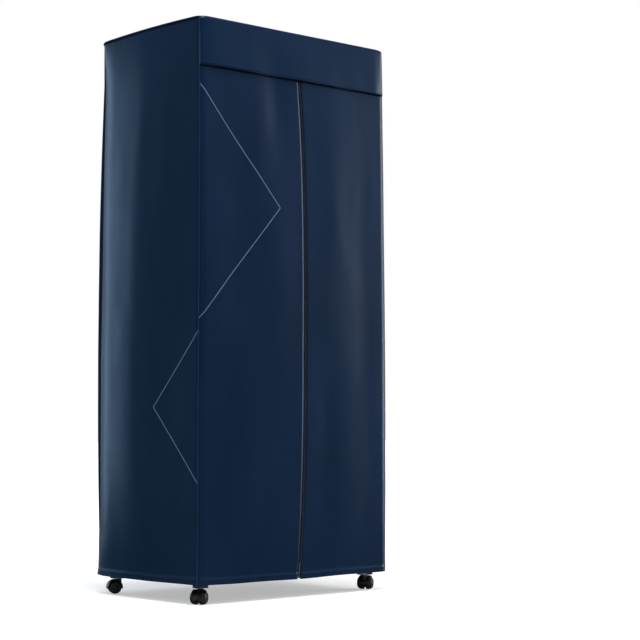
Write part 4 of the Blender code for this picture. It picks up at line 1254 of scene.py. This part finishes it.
face_plate = slider_plate(0.0043, 0.0009, 0, 0.014, 0, 0.0028)
bridge = slider_plate(0.0014, 0.0021, 0.0008, 0.011, 0.003, 0.0009)
slider = outward(gathered(face_plate, bridge))
edged(piece("zip_slider_body", slider, enamel, "slider", ("zip_slider",)), SLIDER_EDGE)
pull = outward(slider_plate(0.0026, 0.0033, 0.0022, 0.0345, 0.0075, 0.0022, 4))
edged(piece("zip_pull", pull, enamel, "slider"), SLIDER_EDGE)
print("slider at z", round(slider_top, 3))

# %% [markdown]
# ## Frame
# Each side bracket is one moulding: a sleeve for each post, a bar that is hollow from below and a collar for every
# rail. A thin lip runs round both mouths of a sleeve. The posts and rails are chromed steel tube, open at the ends.

# %% Side brackets
BAR_HALF = 0.014
BAR_HEIGHT = 0.028
BAR_SKIN = 0.0024
BAR_CORNER = 0.002
SLEEVE_CORNER = 0.008
LIP_PROUD = 0.0005
LIP_HEIGHT = 0.0026
COLLAR_RADIUS = 0.009
COLLAR_FACE = 0.017
SEAT = 0.0003
SOCKET_HALF = 0.010
SOCKET_END = -0.006
STEM_DEPTH = 0.022
STEM_BORE = 0.0058
WAIST_HALF = 0.0015
PAST = 0.004
LEVELS = ("lowest", "lower", "upper", "top")
CROSSBAR = "rail_top_crossbar"
rail_low, rail_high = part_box("rail_lower_1")
post_low, post_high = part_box("post_low_front_left")
RAIL_BORE = (rail_high.z - rail_low.z) / 2 + SEAT
POST_BORE = (post_high.x - post_low.x) / 2 + SEAT


def bracket(level, side):
    """The bracket at a level and side, joined and cut from simple solids."""
    node = f"bracket_{level}_{side}"
    low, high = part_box(node)
    half = (high.x - low.x) / 2
    x, waist = (low.x + high.x) / 2, (low.z + high.z) / 2
    ends = (low.y + half, high.y - half)
    rails = [middle_of(name) for name in frame["nodes"] if name.startswith(f"rail_{level}_") and name != CROSSBAR]
    toward = moved(x) @ Matrix.Rotation(math.radians(90 if side == "left" else -90), 4, "Y")
    at_rails = [moved(0, rail.y, rail.z) @ toward for rail in rails]

    def around(y, bottom, top, proud=0.0):
        wide = half + proud
        return rounded_box((x - wide, y - wide, bottom), (x + wide, y + wide, top), SLEEVE_CORNER + proud)

    bar_low = (x - BAR_HALF, ends[0] + half - BAR_SKIN, high.z - BAR_HEIGHT)
    bar_high = (x + BAR_HALF, ends[1] - half + BAR_SKIN, high.z - BAR_SKIN / 2)
    mouths = (low.z, high.z - LIP_HEIGHT)
    joined = (
        [around(y, low.z, high.z) for y in ends],
        [around(y, bottom, bottom + LIP_HEIGHT, LIP_PROUD) for y in ends for bottom in mouths],
        [drum(COLLAR_RADIUS, 0, COLLAR_FACE, place=place) for place in at_rails],
    )
    solid = rounded_box(bar_low, bar_high, BAR_CORNER, way=1, segments=3)
    for parts in joined:
        solid = carved(solid, gathered(*parts), "UNION")

    tools = [drum(RAIL_BORE, SOCKET_END, COLLAR_FACE + PAST, place=place) for place in at_rails]
    if level == "top":
        crossbar = moved(0, ends[1], middle_of(CROSSBAR).z) @ toward
        tools.append(drum(RAIL_BORE, SOCKET_END, half * 2, place=crossbar))
    for y in ends:
        if level != "top":
            tools.append(drum(POST_BORE, waist + WAIST_HALF, high.z + PAST, place=moved(x, y)))
        if level == "lowest":
            tools.append(drum(STEM_BORE, low.z - PAST, low.z + STEM_DEPTH, place=moved(x, y)))
        else:
            tools.append(drum(POST_BORE, low.z - PAST, waist - WAIST_HALF, place=moved(x, y)))
    solid = carved(solid, gathered(*tools))

    blocks = [y + way * SOCKET_HALF for y in sorted(rail.y for rail in rails) for way in (-1, 1)]
    walls = [ends[0] + half, *blocks, ends[1] - half]
    wide, roof = BAR_HALF - BAR_SKIN, high.z - 1.5 * BAR_SKIN
    hollows = [
        rounded_box((x - wide, start + 0.001, high.z - BAR_HEIGHT - PAST), (x + wide, end - 0.001, roof), 0.0015)
        for start, end in zip(walls[::2], walls[1::2])
        if end - start > 0.006
    ]
    return finished(node, carved(solid, gathered(*hollows)), bracket_plastic, 0.0005)


for level in LEVELS:
    for side in SIDES:
        bracket(level, side)
print("brackets:", 2 * len(LEVELS))

# %% Posts and rails
TUBE_WALLS = {"post_": 0.0012, "rail_": 0.0010}
TUBE_EDGE = 0.0003


def tube(node, wall):
    """A chromed tube in place of a CAD tube, along its longest side."""
    low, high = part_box(node)
    size = Vector(high) - Vector(low)
    way = max(range(3), key=lambda axis: size[axis])
    radius = (size.x if way == 2 else size.z) / 2
    half, bore, face = size[way] / 2, radius - wall, radius - TUBE_EDGE
    profile = [(bore, -half), (face, -half), (radius, TUBE_EDGE - half), (radius, half - TUBE_EDGE), (face, half)]
    place = Matrix.Translation(middle_of(node)) @ (ALONG_X if way == 0 else Matrix())
    return finished(node, spun([*profile, (bore, half)], ROUND_STEPS, place, looped=True), chrome)


tubes = [(node, wall) for start, wall in TUBE_WALLS.items() for node in frame["nodes"] if node.startswith(start)]
for node, wall in tubes:
    tube(node, wall)
print("tubes:", len(tubes))

# %% [markdown]
# ## Castors
# A castor is a hood with a keel between two domed wheels, and a stem that turns in the bracket. Each one trails its
# own way, so its direction is read from the CAD: from the stem's axis to the middle of its wheels.

# %% Castors
HOOD_INNER, HOOD_OUTER = 0.0212, 0.0234
HOOD_HALF = 0.0205
HOOD_SOFT = 0.0025
HOOD_STEPS = 64
KEEL = 0.0145
WEB = 0.0037
AXLE_BORE = 0.0038
HUB = 0.0075
STEM, STEM_TOP = 0.0055, 0.0677
BOSS, BOSS_TOP = 0.0095, 0.0457
EAR_DROP = 0.004
RIBS = 12


def mirrored(line):
    """A profile followed by its own mirror image below."""
    return line + [(radius, -height) for radius, height in reversed(line)]


def hood(corner, place, wheel_z, trail):
    """The hood, keel, boss and stem of one castor, joined."""
    sideways = moved(-trail, 0, wheel_z) @ ALONG_Y
    half = [(0, HOOD_HALF), (HOOD_OUTER - HOOD_SOFT * 2, HOOD_HALF)]
    half += [(HOOD_OUTER - HOOD_SOFT / 2, HOOD_HALF - HOOD_SOFT), (HOOD_OUTER, HOOD_HALF - HOOD_SOFT * 2)]
    far = HOOD_OUTER * 2
    shell = spun(mirrored(half), HOOD_STEPS, sideways)
    shell = carved(shell, rounded_box((-trail - far, -far, wheel_z - far), (far, far, wheel_z - EAR_DROP)))
    shell = carved(shell, drum(KEEL, -WEB, WEB, place=sideways), "UNION")
    foot = wheel_z - EAR_DROP / 2
    post = [(0, foot), (BOSS, foot), (BOSS, BOSS_TOP - 0.001), (BOSS - 0.001, BOSS_TOP), (STEM, BOSS_TOP)]
    post += [(STEM, STEM_TOP - 0.001), (STEM - 0.001, STEM_TOP), (0, STEM_TOP)]
    shell = carved(shell, spun(post, ROUND_STEPS), "UNION")
    wells = [drum(HOOD_INNER, *sorted((way * WEB, way * far)), HOOD_STEPS, sideways) for way in (-1, 1)]
    shell = carved(shell, gathered(*wells))
    shell = carved(shell, drum(AXLE_BORE, -WEB * 2, WEB * 2, SMALL_STEPS, sideways))
    shell.transform(place)
    return finished(f"castor_hood_{corner}", shell, castor_plastic, 0.0005)


def wheel_pair(corner, place, radius, trail):
    """Two domed wheels on their axle, with a hub, a dished face, ribs and a grooved tread."""
    sideways = place @ moved(-trail, 0, radius) @ ALONG_Y
    wheel = [
        (0, 0.0242), (HUB - 0.002, 0.0240), (HUB, 0.0230), (HUB + 0.0006, 0.0222), (radius - 0.0095, 0.0224),
        (radius - 0.0085, 0.0238), (radius - 0.0070, 0.0240), (radius - 0.0045, 0.0228), (radius - 0.0020, 0.0195),
        (radius - 0.0006, 0.0160), (radius, 0.0122), (radius, 0.0092), (radius - 0.0005, 0.0089),
        (radius - 0.0005, 0.0083), (radius, 0.0080), (radius, 0.0050), (radius - 0.0008, 0.0041), (0.0035, 0.0040),
    ]
    ribs = []
    for way in (-1, 1):
        near, far = sorted((way * 0.0215, way * 0.0233))
        for number in range(RIBS):
            turn = sideways @ about_z(360 * number / RIBS)
            ribs.append(rounded_box((HUB, -0.0005, near), (radius - 0.0088, 0.0005, far), place=turn))
    shape = gathered(spun(mirrored(wheel), HOOD_STEPS, sideways), *ribs)
    return finished(f"castor_wheels_{corner}", shape, tread, 0.0002)


for corner in sorted(CORNER_FULLNESS):
    stem_at, wheel_at = middle_of("post_low_" + corner), middle_of("castor_wheels_" + corner)
    way = Vector((stem_at.x - wheel_at.x, stem_at.y - wheel_at.y))
    place = moved(stem_at.x, stem_at.y) @ Matrix.Rotation(math.atan2(way.y, way.x), 4, "Z")
    hood(corner, place, wheel_at.z, way.length)
    wheel_pair(corner, place, wheel_at.z, way.length)
print("castor wheels:", 2 * len(CORNER_FULLNESS))

# %% [markdown]
# ## Heater
# The heater clips over the two lowest rails. From below up: a black tray with its intake slots, the white shell with
# the fan inside, a waisted outlet tower whose windows show the heating element, and a thin cap that turns the air
# outwards. An arched gloss panel with two keys is bent round the front. Nothing is printed on it.

# %% Tray and shell
tray_low, tray_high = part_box("heater_tray")
shell_low, shell_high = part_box("heater_housing")
HEATER_X = (tray_low.x + tray_high.x) / 2
HEATER_Y = (tray_low.y + tray_high.y) / 2
RIM = (tray_high.x - tray_low.x) / 2
SHELL_RADIUS = (shell_high.x - shell_low.x) / 2
KEY_Z = middle_of("key_power").z - shell_low.z
RAIL_AT = middle_of("rail_lowest_front")
RAIL_HALF = 0.0065
TRAY_THICK = 0.0045
BOWL, BOWL_DEPTH, BOWL_FLOOR = 0.074, 0.006, 0.0025
PEDESTAL = 0.018
SHELL_WALL = 0.0025
SHELL_STRAIGHT = 0.076
SHOULDER = 0.040
NECK = 0.077
OUTLET_HOLE = 0.046
SWEEP_EASE = 0.07
CURVE = 14
SLOTS = 12
SLOT_HALF, SLOT_NEAR, SLOT_FAR = 0.00175, 0.030, 0.064
CLIP_HALF, CLIP_WALL, CLIP_FOOT = 0.025, 0.0035, -0.017
GLAND_Z, CORD_BORE = 0.018, 0.0035
KEY_WINDOW_HALF, KEY_WINDOW_RISE = 0.0235, 0.0085


def on_axis(z):
    """The heater's axis, at a height."""
    return moved(HEATER_X, HEATER_Y, z)


def tray():
    """The tray: rim, slotted bowl, upstand, pedestal and a clip over each rail."""
    inside = SHELL_RADIUS - SHELL_WALL - SEAT
    floor_z = BOWL_FLOOR - BOWL_DEPTH
    top = TRAY_THICK + 0.0033
    profile = [
        (0, -BOWL_DEPTH), (BOWL - BOWL_DEPTH - 0.002, -BOWL_DEPTH), (BOWL - BOWL_DEPTH, -BOWL_DEPTH + 0.0006),
        (BOWL - 0.001, -0.0008), (BOWL + 0.001, 0), (RIM - 0.0025, 0), (RIM - 0.0008, 0.0006), (RIM, 0.0020),
        (RIM, TRAY_THICK - 0.0005), (RIM - 0.0005, TRAY_THICK), (inside, TRAY_THICK), (inside, top),
        (inside - 0.002, top), (inside - 0.002, BOWL_FLOOR), (BOWL, BOWL_FLOOR), (BOWL - BOWL_DEPTH, floor_z),
        (PEDESTAL, floor_z), (PEDESTAL - 0.001, floor_z + 0.014), (0, floor_z + 0.014),
    ]
    reach = abs(RAIL_AT.y - HEATER_Y)
    gap = RAIL_HALF + SEAT
    wall = gap + CLIP_WALL
    clip_top = TRAY_THICK - 0.001
    clips = []
    cuts = []
    for middle in (-reach, reach):
        foot = (-CLIP_HALF, middle - wall, CLIP_FOOT)
        clips.append(rounded_box(foot, (CLIP_HALF, middle + wall, clip_top), 0.002))
        foot = (-CLIP_HALF * 2, middle - gap, CLIP_FOOT - PAST)
        cuts.append(rounded_box(foot, (CLIP_HALF * 2, middle + gap, 0)))
    for number in range(SLOTS):
        slot = ((SLOT_NEAR, -SLOT_HALF, -0.02), (SLOT_FAR, SLOT_HALF, floor_z + PAST))
        cuts.append(rounded_box(*slot, 0.0017, place=about_z(360 * number / SLOTS)))
    shape = carved(spun(profile, FINE_STEPS), gathered(*clips), "UNION")
    shape = carved(shape, gathered(*cuts))
    shape.transform(on_axis(RAIL_AT.z + gap))
    return finished("heater_tray", shape, black_plastic, 0.0006)


def shoulder_line(steps):
    """Points of the shoulder between the straight side and the neck: (radius, height)."""
    line = []
    for number in range(1, steps):
        share = number / steps
        sweep = share - math.sin(math.tau * share) * SWEEP_EASE
        line.append((SHELL_RADIUS + (NECK - SHELL_RADIUS) * sweep, SHELL_STRAIGHT + SHOULDER * share))
    return line


def shell():
    """The white shell, with the outlet's hole, the keys' window and the gland at the back."""
    top = SHELL_STRAIGHT + SHOULDER
    line = shoulder_line(CURVE)
    outside = [(SHELL_RADIUS - 0.0003, 0), (SHELL_RADIUS, 0.0004), (SHELL_RADIUS, SHELL_STRAIGHT - 0.001)]
    outside += [(SHELL_RADIUS - 0.0006, SHELL_STRAIGHT + 0.0008), *line]
    outside += [(NECK, top - 0.0014), (NECK - 0.0006, top - 0.0005), (NECK - 0.0018, top)]
    inside = [(NECK - SHELL_WALL, top - SHELL_WALL)]
    inside += [(radius - SHELL_WALL, z - SHELL_WALL / 2) for radius, z in reversed(line)]
    inside += [(SHELL_RADIUS - SHELL_WALL, SHELL_STRAIGHT - 0.001), (SHELL_RADIUS - SHELL_WALL, 0)]
    hole = [(OUTLET_HOLE, top), (OUTLET_HOLE, top - SHELL_WALL)]
    shape = spun(outside + hole + inside, FINE_STEPS, looped=True)
    gland_at = moved(0, SHELL_RADIUS, GLAND_Z) @ ALONG_Y
    gland = [(0, -SHELL_WALL), (0.0080, -SHELL_WALL), (0.0080, 0.0010), (0.0066, 0.0040), (0, 0.0040)]
    shape = carved(shape, spun(gland, SMALL_STEPS, gland_at), "UNION")
    bore = drum(CORD_BORE, -0.02, 0.02, SMALL_STEPS, gland_at)
    low = (-KEY_WINDOW_HALF, -SHELL_RADIUS - PAST, KEY_Z - KEY_WINDOW_RISE)
    high = (KEY_WINDOW_HALF, -SHELL_RADIUS / 2, KEY_Z + KEY_WINDOW_RISE)
    key_window = rounded_box(low, high, 0.003, way=1)
    shape = carved(shape, gathered(bore, key_window))
    shape.transform(on_axis(shell_low.z))
    return finished("heater_housing", shape, shell_white, 0.0004)


tray()
shell()
print("heater:", round(2 * RIM, 4), "m across,", round(shell_high.z - tray_low.z, 3), "m to the neck")

# %% Panel and keys
PANEL_HALF = 0.0315
PANEL_STRAIGHT = 0.0255
PANEL_THICK = 0.0025
PANEL_LIFT = 0.0008
DISPLAY_SUNK, DISPLAY_THICK = 0.0004, 0.0007
SLAB_NEAR, SLAB_FAR = 0.06, 0.13
KEY_RADIUS = 0.0045
KEY_FLANGE = KEY_RADIUS + 0.0015
ARCH_STEPS = 40
KEYS = ("key_power", "key_timer")


def arch_slab(half, low, straight, near, far):
    """An arch-topped slab facing the front, between two distances from the heater's axis."""
    steps = [math.pi * number / ARCH_STEPS for number in range(ARCH_STEPS + 1)]
    outline = [(-half, low), (half, low)]
    outline += [(half * math.cos(turn), straight + half * math.sin(turn)) for turn in steps]
    shape = bmesh.new()
    face = shape.faces.new([shape.verts.new((x, -near, z)) for x, z in outline])
    grown = bmesh.ops.extrude_face_region(shape, geom=[face])
    far_side = [part for part in grown["geom"] if isinstance(part, bmesh.types.BMVert)]
    bmesh.ops.translate(shape, verts=far_side, vec=(0, near - far, 0))
    return outward(shape)


def bent_plate(slab, radius, thickness):
    """A slab kept where it lies within a skin round the shell."""
    skin = drum(radius + thickness, -0.01, 0.09, FINE_STEPS * 2, bore=radius)
    return carved(skin, slab, "INTERSECT")


def key_hole(node):
    """The hole for a key through the panel."""
    place = moved(middle_of(node).x - HEATER_X, 0, KEY_Z) @ ALONG_Y.inverted()
    return drum(KEY_RADIUS + SEAT, 0.05, 0.15, SMALL_STEPS * 2, place)


arch = arch_slab(PANEL_HALF, PANEL_LIFT, PANEL_STRAIGHT, SLAB_NEAR, SLAB_FAR)
plate = bent_plate(arch, SHELL_RADIUS + SEAT, PANEL_THICK)
plate = carved(plate, gathered(*[key_hole(node) for node in KEYS]))
plate.transform(on_axis(shell_low.z))
finished("heater_panel", plate, gloss, 0.0005)

display_slab = rounded_box((-0.0125, -SLAB_FAR, 0.028), (0.0125, -SLAB_NEAR, 0.040), 0.0022, way=1)
display = bent_plate(display_slab, SHELL_RADIUS + SEAT + PANEL_THICK - DISPLAY_SUNK, DISPLAY_THICK)
display.transform(on_axis(shell_low.z))
added("display_lens", display, lens_finish, "heater_panel", 0.0002)

for node in KEYS:
    low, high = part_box(node)
    centre = middle_of(node)
    deep = high.y - low.y
    profile = [
        (0, 0.0002), (0.0012, 0.00012), (0.0026, 0.0002), (0.0036, 0.0006), (0.0042, 0.0004), (KEY_RADIUS, 0.0010),
        (KEY_RADIUS, deep - 0.001), (KEY_FLANGE, deep - 0.001), (KEY_FLANGE, deep), (0, deep),
    ]
    place = moved(centre.x, low.y, centre.z) @ ALONG_Y
    finished(node, spun(profile, ROUND_STEPS, place), key_black)
print("keys:", len(KEYS))

# %% Motor and impeller
CAN = 0.026
NOSE = 0.011
SHAFT = 0.003
SCREW, SCREW_ENDS, SCREW_RING = 0.0022, (0.0338, 0.0352), 0.0185
BLADE_HALF = 0.0009
HUB_RADIUS = 0.021
HUB_TOP = 0.0075
BLADE_REACH = 0.074
BLADES = 7
BLADE_COLUMNS, BLADE_ROWS = 12, 6
PITCH = math.radians(28)

motor_at = on_axis(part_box("fan_motor")[0].z)
profile = [
    (0, 0), (CAN - 0.002, 0), (CAN - 0.0006, 0.0006), (CAN, 0.002), (CAN, 0.0105), (CAN - 0.0010, 0.0110),
    (CAN - 0.0010, 0.0230), (CAN, 0.0235), (CAN, 0.0320), (CAN - 0.0006, 0.0334), (CAN - 0.002, 0.034),
    (NOSE, 0.034), (NOSE, 0.0366), (NOSE - 0.0004, 0.037), (SHAFT, 0.037), (SHAFT, 0.0565),
    (SHAFT - 0.0005, 0.057), (0, 0.057),
]
screws = [
    drum(SCREW, *SCREW_ENDS, SMALL_STEPS, motor_at @ about_z(90 * number + 45) @ moved(SCREW_RING))
    for number in range(4)
]
finished("fan_motor", gathered(spun(profile, ROUND_STEPS, motor_at), *screws), motor_steel)
band = [(CAN - 0.0009, 0.0120), (CAN - 0.0002, 0.0128), (CAN - 0.0002, 0.0212), (CAN - 0.0009, 0.0220)]
added("motor_winding_band", spun(band, ROUND_STEPS, motor_at, looped=True), winding, "fan_motor")


def blade(turn):
    """One blade: a thin plate from the hub to the rim that widens, twists and is dished."""
    shape = bmesh.new()
    solid_block(shape, (0, -0.5, -BLADE_HALF), (1, 0.5, BLADE_HALF))
    for axis, cuts in ((0, BLADE_COLUMNS), (1, BLADE_ROWS)):
        long = [edge for edge in shape.edges if abs(edge.verts[0].co[axis] - edge.verts[1].co[axis]) > 0.5]
        bmesh.ops.subdivide_edges(shape, edges=long, cuts=cuts, use_grid_fill=True)
    for vertex in shape.verts:
        share, off, thick = vertex.co
        chord = 0.0135 + 0.0165 * share - 0.006 * max(0, share - 0.8) / 0.2 * abs(2 * off)
        dish = -0.0012 * (1 - 4 * off * off) * share
        across, up = off * chord, thick + dish
        radius = HUB_RADIUS - 0.0012 + (BLADE_REACH - 0.0008 - HUB_RADIUS) * share
        risen = across * math.sin(PITCH) + up * math.cos(PITCH)
        vertex.co = (radius, across * math.cos(PITCH) - up * math.sin(PITCH), risen)
    shape.transform(turn)
    return outward(shape)


hub = [
    (SHAFT + SEAT, -HUB_TOP), (HUB_RADIUS - 0.0006, -HUB_TOP), (HUB_RADIUS, -HUB_TOP + 0.0006),
    (HUB_RADIUS, HUB_TOP - 0.0025), (HUB_RADIUS - 0.0025, HUB_TOP), (0.0075, HUB_TOP),
    (0.0070, HUB_TOP - 0.0012), (SHAFT + SEAT, HUB_TOP - 0.0012),
]
fan_at = on_axis(middle_of("fan_impeller").z)
blades = [blade(fan_at @ about_z(360 * number / BLADES)) for number in range(BLADES)]
impeller = gathered(spun(hub, ROUND_STEPS, fan_at, looped=True), *blades)
finished("fan_impeller", impeller, fan_grey)
print("blades:", BLADES)

# %% Outlet tower
TOWER = 0.054
TOWER_FOOT, TOWER_WAIST = 0.059, 0.0495
TOWER_WALL = 0.003
TOWER_RING = 0.005
LEDGE_RADIUS = 0.041
WINDOW_FOOT, WINDOW_HEAD = 0.034, 0.026
SPIGOT = 0.004
WINDOWS = 4
tower_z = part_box("outlet_tower")[0].z
LEDGE_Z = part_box("heating_element")[0].z - tower_z - SEAT


def tower_wall(z):
    """The tower's outer radius at a height."""
    return TOWER_WAIST + (TOWER_FOOT - TOWER_WAIST) * (1 - z / TOWER) ** 2


def window(number):
    """One of the openings round the tower, narrower at its head."""
    low, high = TOWER_RING, TOWER - TOWER_RING - SPIGOT
    opening = rounded_box((-WINDOW_FOOT, -0.12, low), (WINDOW_FOOT, -0.020, high), 0.003, way=1)
    for vertex in opening.verts:
        vertex.co.x *= 1 - (vertex.co.z - low) / (high - low) * (1 - WINDOW_HEAD / WINDOW_FOOT)
    opening.transform(about_z(360 * number / WINDOWS))
    return opening


rows = [TOWER * number / CURVE for number in range(CURVE + 1)]
profile = [(tower_wall(z), z) for z in rows]
profile += [(tower_wall(z) - TOWER_WALL, z) for z in reversed(rows) if z > LEDGE_Z]
profile += [(tower_wall(LEDGE_Z) - TOWER_WALL, LEDGE_Z), (LEDGE_RADIUS, LEDGE_Z), (LEDGE_RADIUS, 0)]
tower = spun(profile, FINE_STEPS, looped=True)
for number in range(WINDOWS):
    tower = carved(tower, window(number))
tower.transform(on_axis(tower_z))
finished("outlet_tower", tower, black_plastic, 0.0005)
print("windows:", WINDOWS)

# %% Outlet cap
CAP_BRIM = 0.074
quarter = (math.pi / 2 * number / CURVE for number in range(1, CURVE))
dome = [(0.046 * math.cos(turn), 0.0032 + 0.009 * math.sin(turn)) for turn in quarter]
fit = (TOWER_WAIST - TOWER_WALL) * math.cos(math.pi / 24) - SEAT
profile = [(0, 0), (fit - 0.002, 0), (fit - 0.002, -SPIGOT), (fit, -SPIGOT), (fit, 0), (CAP_BRIM - 0.004, 0.0013)]
profile += [(CAP_BRIM - 0.0008, 0.0016), (CAP_BRIM, 0.0022), (CAP_BRIM - 0.0003, 0.0030)]
profile += [(CAP_BRIM - 0.0012, 0.0032), (0.0475, 0.0032), (0.0462, 0.0034), *dome, (0, 0.0122)]
cap = spun(profile, FINE_STEPS, on_axis(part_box("outlet_cap")[0].z + SPIGOT))
finished("outlet_cap", cap, black_plastic)
print("brim:", round(2 * CAP_BRIM, 3), "m across")

# %% Heating element and lamp
LAMP = 0.0032
LAMP_SKIN = (LAMP - 0.0006, LAMP - 0.0001)
CUP = 0.0045
WIRE_COIL, WIRE = 0.0012, 0.0002
TURNS, TURN_STEPS = 16, 10
CAD_MERGE = 1e-5

fins = bmesh.new()
fins.from_mesh(frame["nodes"]["heating_element"].data)
bmesh.ops.remove_doubles(fins, verts=fins.verts, dist=CAD_MERGE)
bmesh.ops.dissolve_limit(fins, angle_limit=math.radians(2), verts=fins.verts, edges=fins.edges)
finished("heating_element", fins, fin_metal, 0.0002)

lamp_low, lamp_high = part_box("lamp_tube")
length = lamp_high.z - lamp_low.z
lamp_foot = Vector((middle_of("lamp_tube").x, middle_of("lamp_tube").y, lamp_low.z))
lamp_at = Matrix.Translation(lamp_foot)
ends = (CUP - 0.001, length - CUP + 0.001)
skin = [(LAMP_SKIN[0], ends[0]), (LAMP_SKIN[1], ends[0]), (LAMP_SKIN[1], ends[1]), (LAMP_SKIN[0], ends[1])]
finished("lamp_tube", spun(skin, SMALL_STEPS, lamp_at, looped=True), glass)
caps = [drum(LAMP, low, low + CUP, SMALL_STEPS, lamp_at) for low in (0, length - CUP)]
added("lamp_caps", gathered(*caps), motor_steel, "lamp_tube", 0.0002)
wire = []
for step in range(TURNS * TURN_STEPS + 1):
    turn = math.tau * step / TURN_STEPS
    risen = CUP + (length - 2 * CUP) * step / (TURNS * TURN_STEPS)
    wire.append(lamp_foot + Vector((WIRE_COIL * math.cos(turn), WIRE_COIL * math.sin(turn), risen)))
belong(tube_along("lamp_filament_wire", wire, WIRE, filament, 6), body_of("lamp_tube"))
print("turns of the filament:", TURNS)
